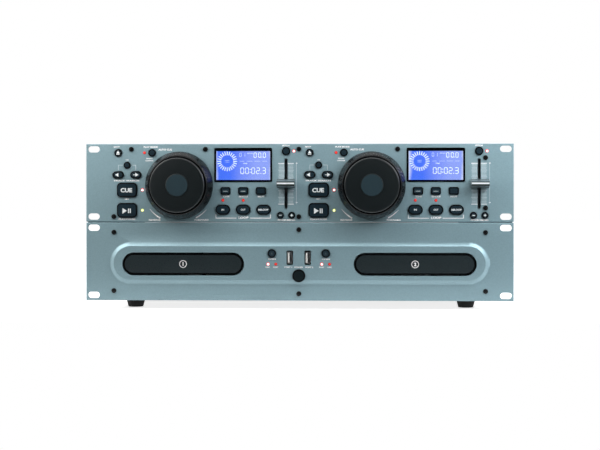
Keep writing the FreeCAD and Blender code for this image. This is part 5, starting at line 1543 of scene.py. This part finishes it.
@dataclass
class Screws:
    """The panel screws: black domed heads with a hexagon socket, all sizes in millimetres."""

    head: float = 2.8
    height: float = 1.5
    socket: float = 1.25
    depth: float = 1.0
    shank: float = 1.5
    length: float = 8.5
    around: int = 36
    turn: float = 17.0

    def ring(self, shape: bmesh.types.BMesh, radius: float, y: float, steps: int) -> list[bmesh.types.BMVert]:
        """Return new corners round the screw's axis.

        Args:
            shape: the screw's shape.
            radius: the ring's radius.
            y: its place along the axis.
            steps: how many corners.
        Returns:
            The corners.
        """
        turns = [2 * math.pi * step / steps for step in range(steps)]
        return [shape.verts.new((radius * MM * math.cos(turn), y * MM, radius * MM * math.sin(turn)))
                for turn in turns]

    def screw(self) -> bpy.types.Object:
        """Model one screw at the origin, its head's seat at y = 0.

        Returns:
            The screw.
        """
        shape = bmesh.new()
        rings = [self.ring(shape, radius, y, self.around) for radius, y in (
            (self.head * 0.62, -self.height), (self.head * 0.88, -self.height * 0.86),
            (self.head, -self.height * 0.45), (self.head, 0.0), (self.shank, 0.0), (self.shank, self.length))]
        edge = self.ring(shape, self.socket, -self.height, 6)
        deep = self.ring(shape, self.socket, self.depth - self.height, 6)
        for first, second in zip(rings, rings[1:]):
            for step in range(self.around):
                after = (step + 1) % self.around
                shape.faces.new((first[step], first[after], second[after], second[step]))
        shape.faces.new(rings[-1])
        share = self.around // 6
        for side in range(6):
            after = (side + 1) % 6
            for step in range(share):
                here = side * share + step
                near = edge[side if step < share / 2 else after]
                shape.faces.new((rings[0][here], rings[0][(here + 1) % self.around], near))
            shape.faces.new((edge[side], rings[0][side * share + share // 2], edge[after]))
            shape.faces.new((edge[side], edge[after], deep[after], deep[side]))
        shape.faces.new(deep)
        return solid_from("screw", shape, 35.0)

    def build(self, repeater: Repeater, face: float) -> None:
        """Stand a screw where each CAD screw is, each turned its own way.

        Args:
            repeater: stands the screws in place.
            face: y of the panels' face in millimetres.
        """
        places = []
        for number, part in enumerate(islands("panel_screws")):
            low, high = extent(part)
            part.free()
            middle = (low + high) / 2
            places.append((Vector((middle.x, face * MM, middle.z)), math.radians(self.turn * number)))
        thing = repeater.stand("panel_screws_socketed", self.screw(), places, BLACK_OXIDE)
        dress(thing, BLACK_OXIDE, CASES, ["panel_screws"])


@dataclass
class Works:
    """What is split by finish: displays' bezels, drives, trays, boards, connectors and feet.

    Each sorting method takes a solid's middle and size in millimetres, and tells it by them. fit is how far a
    solid may be from the size that it is told by.
    """

    bezel_width: float = 62.0
    motor_reach: float = 26.0
    motor_height: float = 8.5
    rod_width: float = 4.0
    rod_length: float = 60.0
    board_thick: float = 1.8
    board_reach: float = 40.0
    module_reach: float = 30.0
    fit: float = 0.3
    switch_width: float = 6.0
    switch_reach: float = 18.0
    panel_back: float = -100.0
    port_back: float = -80.0
    inlet_width: float = 20.0
    link_width: float = 12.0
    flange_width: float = 11.2
    flange: float = 1.2
    pair: float = 84.0
    pair_half: int = 8
    collar_bore: float = 4.25
    collar_over: float = 0.1
    collar_gap: float = 0.02
    collar_round: float = 0.3
    pad_height: float = 8.0
    foot_bulge: float = 1.16
    foot_rounding: float = 0.3
    jacks: list[Vector] = field(default_factory=list)

    def display(self, middle: Vector, size: Vector) -> tuple[str, Finish] | None:
        """Sort the display modules' solids; what stands behind a bezel has pieces of its own."""
        return ("bezels", BEZEL_ABS) if size.x > self.bezel_width else None

    def drive(self, middle: Vector, size: Vector) -> tuple[str, Finish]:
        """Sort a disc drive's solids.

        Args:
            middle: a solid's middle in millimetres; not used.
            size: its size in millimetres.
        Returns:
            The piece's name and finish.
        """
        if max(size) < self.motor_reach and size.z > self.motor_height:
            return "motors", STEEL
        if size.x < self.rod_width and size.y > self.rod_length:
            return "rods", STEEL
        return "frame", DRIVE_ABS

    def board(self, middle: Vector, size: Vector) -> tuple[str, Finish]:
        """Sort the boards and what stands on them.

        Args:
            middle: a solid's middle in millimetres.
            size: its size in millimetres.
        Returns:
            The piece's name and finish.
        """
        if min(size) < self.board_thick and max(size) > self.board_reach:
            return "laminate", SOLDER_MASK
        if max(size) > self.module_reach:
            return "modules", STEEL
        if abs(size.x - self.switch_width) < self.fit or max(size) > self.switch_reach:
            return "switches", DRIVE_ABS
        return "studs", NICKEL if middle.y < self.panel_back else SOCKET_BLACK

    def connector(self, middle: Vector, size: Vector) -> tuple[str, Finish]:
        """Sort the sockets, and keep the middles of the phono jacks' flanges.

        Args:
            middle: a solid's middle in millimetres.
            size: its size in millimetres.
        Returns:
            The piece's name and finish.
        """
        if middle.y < self.port_back:
            return "ports", STEEL
        if size.x > self.inlet_width:
            return "mains_inlet", SOCKET_BLACK
        if abs(size.x - self.flange_width) < self.fit:
            self.jacks.append(middle + Vector((0, 0, (size.z - self.flange_width) / 2)))
            return "phono_jacks", NICKEL
        return ("links", STEEL) if size.x > self.link_width else ("start_jacks", SOCKET_BLACK)

    def collars(self) -> None:
        """Put the coloured nylon collars on the phono jacks: white and red for sound, orange for digital."""
        wall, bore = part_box("player_chassis")[1].y, self.collar_bore * MM
        near, far = wall + self.collar_gap * MM, wall + (self.flange + self.collar_over) * MM
        outer, rounding = (self.flange_width / 2 + self.collar_over) * MM, self.collar_round * MM
        ring = [(bore, near), (bore, far), (outer - rounding, far), (outer, far - rounding), (outer, near)]
        for number, middle in enumerate(self.jacks):
            offset = round(middle.x - math.copysign(self.pair, middle.x))
            finish = {-self.pair_half: TONGUE_WHITE, self.pair_half: RED_NYLON}.get(offset, ORANGE_NYLON)
            dress(lathe(f"phono_collar_{number}", ring, (middle.x * MM, middle.z * MM), 48), finish)

    def feet(self) -> None:
        """Finish the rubber pads and the tapered feet, whose soft sides bulge a little under the weight."""
        shape = bmesh.new()
        for part in islands("rubber_feet"):
            low, high = extent(part)
            middle = (low + high) / 2
            if high.z - low.z > self.pad_height * MM:
                for vertex in part.verts:
                    vertex.co.x = middle.x + (vertex.co.x - middle.x) * self.foot_bulge
                    vertex.co.y = middle.y + (vertex.co.y - middle.y) * self.foot_bulge
            take_in(shape, part)
        thing = bevelled(solid_from("rubber_feet_shell", shape, 25.0), self.foot_rounding)
        dress(weighted(thing), FOOT_RUBBER, CASES, ["rubber_feet"])

    def build(self) -> None:
        """Finish every piece that is split, and the trays with what turns in the drives."""
        for deck in Deck:
            sorted_solids(f"disc_drive_{deck.value}", self.drive)
            for part, finish, slot in (("disc_tray", TRAY_ABS, "tray_plastic"),
                                       ("tray_pinion", ACETAL, "gear_plastic"),
                                       ("disc_spindle", STEEL, "spindle_metal")):
                node = f"{part}_{deck.value}"
                finished_node(node, finish, node)
        sorted_solids("display_modules", self.display)
        sorted_solids("circuit_boards", self.board)
        sorted_solids("connectors", self.connector)
        self.collars()
        self.feet()


@dataclass
class Ports:
    """What shows in the two data sockets, in millimetres from each: a white tongue and gold contacts."""

    face: float
    x: float = 10.1
    z: float = 58.55
    tongue: float = 1.8
    tongue_side: float = -1.3
    tongue_height: float = 11.2
    tongue_depth: float = 1.0
    contact: Point = (0.4, 1.0)
    contact_side: float = -0.2
    contact_foot: float = -3.5
    contact_pitch: float = 2.33
    contact_depth: float = 1.6

    def build(self) -> None:
        """Lay the tongue's face and the contacts beside it."""
        for side, name in ((-1, "left"), (1, "right")):
            place = dict(x=side * self.x, z=self.z, sunk=0.1)
            tongue = Ink(f"port_tongue_{name}", TONGUE_WHITE, self.face + self.tongue_depth, **place)
            tongue.box(self.tongue_side, 0, self.tongue, self.tongue_height)
            tongue.done()
            contacts = Ink(f"port_contacts_{name}", BRASS, self.face + self.contact_depth, **place)
            for step in range(4):
                contacts.box(self.contact_side, self.contact_foot + step * self.contact_pitch, *self.contact)
            contacts.done()


@dataclass
class TrayCaps:
    """The marks on the trays' caps, in millimetres: a plain ringed number, and a dark band of painted shade
    round the cap.
    """

    width: float = 135.6
    height: float = 23.5
    # rim, margin and rim_depth size the band of painted shade round the cap.
    rim: float = 1.2
    margin: float = 0.5
    rim_depth: float = 0.12
    number: float = 4.0
    circle: float = 3.9
    circle_line: float = 0.7

    def build(self) -> None:
        """Print a number on each tray's cap, and lay painted shade round the cap's rim."""
        radius, reach = self.height / 2 - self.margin - self.rim / 2, self.width / 2 - self.height / 2
        ends = [arc((side * reach, 0.0), radius, start, start + 180.0, 24)
                for side, start in ((1, -90.0), (-1, 90.0))]
        for number, deck in enumerate(Deck, 1):
            tray = f"disc_tray_{deck.value}"
            spot = Spot.of(tray)
            place = (spot.front, spot.x, spot.z, tray)
            ink = Ink(f"{tray}_number", WHITE_INK, *place)
            ink.words(str(number), 0, 0, self.number)
            ink.strip(arc((0.0, 0.0), self.circle, 0.0, 360.0, 48), [self.circle_line])
            ink.done()
            # Painted shade: the dark band stands for the shadow in the gap between the cap and its opening.
            rim = Ink(f"{tray}_rim", BEZEL_ABS, *place, sunk=self.rim_depth)
            rim.strip([*ends[0], *ends[1], ends[0][0]], [self.rim])
            rim.done()


@dataclass
class Player:
    """The whole dual disc player; a display's place is from its deck's line and the panel's middle."""

    display: Point = (45.6, 20.3)

    def plain_nodes(self) -> None:
        """Finish the panels, cases and keys, whose shapes come straight from the CAD."""
        for node in ("controller_front_panel", "player_front_panel"):
            finished_node(node, PANEL_PAINT)
        for node in ("controller_housing", "player_chassis", "player_top_cover"):
            finished_node(node, CASE_COAT)
        # Each key also gets a border of painted shade round its face.
        rim = KeyRim()
        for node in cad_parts:
            if "_key" in node:
                finished_node(node, POWER_ABS if node == "power_key" else KEY_ABS, node)
                rim.lay(node)

    def build(self) -> None:
        """Build every sub-assembly."""
        (face, row), (platform, player_row) = (
            (low.y / MM, (low.z + high.z) / 2 / MM)
            for low, high in (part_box("controller_front_panel"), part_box("player_front_panel")))
        repeater = Repeater()
        self.plain_nodes()
        Works().build()
        for deck, x in ((Deck.A, -DECK_MIDDLE), (Deck.B, DECK_MIDDLE)):
            DeckPrinting(deck, face, x, row).build()
            JogWheel(deck, face).build()
            FaderKnob(deck, face).build()
            Display(deck, face, (x + self.display[0], row + self.display[1])).build(repeater)
        KeyMarks().build()
        PlayerPrinting(platform, player_row).build()
        TrayCaps().build()
        Lamps().build()
        Screws().build(repeater, face)
        Ports(platform).build()


# ---------------------------------------------------------------- studio


@dataclass(frozen=True)
class SoftLamp:
    """An area lamp: its place, the point it looks at, its width and height in metres, and its watts."""

    name: str
    place: tuple[float, float, float]
    aim: tuple[float, float, float]
    size: Point
    power: float
    colour: str = "#FFFFFF"

    def hang(self) -> None:
        """Put the lamp in the scene."""
        light = bpy.data.lights.new(self.name, "AREA")
        light.shape, light.size, light.size_y, light.energy = "RECTANGLE", *self.size, self.power
        light.color = linear(self.colour)[:3]
        lamp = link(self.name, light)
        lamp.location = self.place
        lamp.rotation_euler = (Vector(self.aim) - Vector(self.place)).to_track_quat("-Z", "Y").to_euler()


@dataclass(frozen=True)
class Flag:
    """A dark card: its width and height in metres, its middle, and its turn in degrees from lying flat.

    shown is how much of it the camera itself sees, from 0 to 1.
    """

    name: str
    size: Point
    place: tuple[float, float, float]
    turn: float
    shown: float = 0.0
    felt: str = "#26282A"

    def hang(self) -> None:
        """Put the card in the scene."""
        shape = bmesh.new()
        bmesh.ops.create_grid(shape, x_segments=1, y_segments=1, size=0.5)
        matrix = (Matrix.Translation(self.place) @ Matrix.Rotation(math.radians(self.turn), 4, "X")
                  @ Matrix.Diagonal((*self.size, 1, 1)))
        bmesh.ops.transform(shape, matrix=matrix, verts=shape.verts)
        card = solid_from(self.name, shape)
        material = bpy.data.materials.new(f"{self.name}_felt")
        tree = emptied(material)
        felt = add_node(tree, "ShaderNodeBsdfDiffuse", {"Color": linear(self.felt)}).outputs["BSDF"]
        seen = add_node(tree, "ShaderNodeLightPath").outputs["Is Camera Ray"]
        clear = add_node(tree, "ShaderNodeBsdfTransparent").outputs["BSDF"]
        hidden = worked(tree, "MULTIPLY", seen, 1.0 - self.shown)
        both = add_node(tree, "ShaderNodeMixShader", {0: hidden, 1: felt, 2: clear})
        add_node(tree, "ShaderNodeOutputMaterial", {"Surface": both.outputs["Shader"]})
        card.data.materials.append(material)


@dataclass
class Studio:
    """White studio: a key lamp above and beyond each end of the panels, a strip above, fills and a camera.

    Lengths are in metres. The world is as bright as dusk low down and as noon above, and white to the camera.
    """

    dusk: float = 0.1
    noon: float = 0.5
    floor_half: float = 3.0
    floor_front: float = -0.27
    paper_glow: float = 0.8
    paper_bounce: str = "#303030"
    lens: float = 79.8
    sensor: float = 36.0
    distance: float = 1.5
    yaw: float = 2.0
    height: float = 0.125
    level: float = 0.0954
    camera_shift: Point = (0.0013, 0.026)
    key_place: tuple[float, float, float] = (0.48, -0.33, 0.40)
    key_aim: tuple[float, float, float] = (0.22, -0.12, 0.16)
    key_size: Point = (0.48, 0.32)
    # A dark card seen by the camera behind the gap between the two cases: painted shade in the gap.
    gap: tuple[float, float, float] = (0.2175, 0.036, 0.0982)
    gap_size: Point = (0.047, 0.0024)

    def world(self) -> None:
        """Light the scene from a soft grey world that the camera sees as white."""
        world = bpy.data.worlds.new("studio")
        tree = emptied(world)
        path = add_node(tree, "ShaderNodeLightPath").outputs
        seen = path["Is Camera Ray"]
        for kind in ("Is Glossy Ray", "Is Transmission Ray"):
            seen = worked(tree, "MAXIMUM", seen, path[kind])
        height = part_of(tree, add_node(tree, "ShaderNodeTexCoord").outputs["Generated"], "Z")
        sky = ranged(tree, height, (-0.1, 0.9), (self.dusk, self.noon))
        level = add_node(tree, "ShaderNodeMix", {"Factor": seen, "A": sky, "B": 1.0}).outputs["Result"]
        back = add_node(tree, "ShaderNodeBackground", {"Color": linear("#FFFFFF"), "Strength": level})
        add_node(tree, "ShaderNodeOutputWorld", {"Surface": back.outputs["Background"]})
        bpy.context.scene.world = world

    def floor(self) -> None:
        """Lay a white floor under the feet that keeps the shadow and throws little light back up."""
        shape = bmesh.new()
        bmesh.ops.create_grid(shape, x_segments=1, y_segments=1, size=self.floor_half)
        bmesh.ops.translate(shape, vec=(0.0, self.floor_half + self.floor_front, 0.0), verts=shape.verts)
        floor = solid_from("studio_floor", shape)
        material = bpy.data.materials.new("studio_paper")
        tree = emptied(material)
        paper = add_node(tree, "ShaderNodeBsdfDiffuse", {"Color": linear("#FFFFFF")}).outputs["BSDF"]
        glow = add_node(tree, "ShaderNodeEmission", {"Strength": self.paper_glow}).outputs["Emission"]
        white = add_node(tree, "ShaderNodeAddShader", {0: paper, 1: glow}).outputs["Shader"]
        dull = add_node(tree, "ShaderNodeBsdfDiffuse", {"Color": linear(self.paper_bounce)}).outputs["BSDF"]
        bounced = add_node(tree, "ShaderNodeLightPath").outputs["Is Diffuse Ray"]
        both = add_node(tree, "ShaderNodeMixShader", {0: bounced, 1: white, 2: dull})
        add_node(tree, "ShaderNodeOutputMaterial", {"Surface": both.outputs["Shader"]})
        floor.data.materials.append(material)

    def camera(self) -> None:
        """Stand the camera level in front of the panels."""
        data = bpy.data.cameras.new("camera")
        data.lens, data.sensor_width, data.clip_end = self.lens, self.sensor, 50.0
        camera = link("camera", data)
        turn, (aside, nearer) = math.radians(self.yaw), self.camera_shift
        camera.location = (self.distance * math.sin(turn) + aside,
                           CAD_BOUNDS[0][1] + nearer - self.distance * math.cos(turn), self.height)
        camera.rotation_euler = (math.radians(90), 0, turn)
        data.shift_y = (self.level - self.height) / (self.distance * self.sensor / self.lens)
        bpy.context.scene.camera = camera

    def build(self) -> None:
        """Set up the world, the floor, the flags, the lamps and the camera."""
        self.world()
        self.floor()
        Flag("flag_behind_camera", (2.6, 1.5), (0.0, -2.0, 0.4), 90.0).hang()
        Flag("flag_on_floor", (2.6, 1.67), (0.0, -1.115, -0.004), 0.0).hang()
        # Painted shade: a dark card in the gap between the cases, on each side.
        across, behind, up = self.gap
        for side in (-1, 1):
            place = (side * across, CAD_BOUNDS[0][1] + behind, up)
            Flag("flag_behind_gap", self.gap_size, place, 90.0, shown=1.0).hang()
        for side, name, power, colour in ((-1, "key_left", 1.95, "#FFFAF6"),
                                          (1, "key_right", 2.7, "#FAFCFF")):
            place, aim = ((side * point[0], *point[1:]) for point in (self.key_place, self.key_aim))
            SoftLamp(name, place, aim, self.key_size, power, colour).hang()
        SoftLamp("strip_above", (0.0, -0.28, 0.38), (0, -0.118, 0.18), (1.1, 0.08), 1.3).hang()
        SoftLamp("front_left", (-1.5, -1.2, 0.6), (0, -0.1, 0.1), (0.7, 1.0), 1.5, "#FFF8F0").hang()
        SoftLamp("side_right", (1.6, -0.9, 0.35), (0.1, -0.1, 0.1), (0.5, 0.9), 1.3, "#F0F5FF").hang()
        self.camera()
        bpy.context.scene.view_settings.view_transform = "Standard"


def main() -> None:
    """Build the player and its studio."""
    logging.basicConfig(level=logging.INFO, format="%(message)s")
    Player().build()
    Studio().build()


if __name__ == "__main__":
    main()
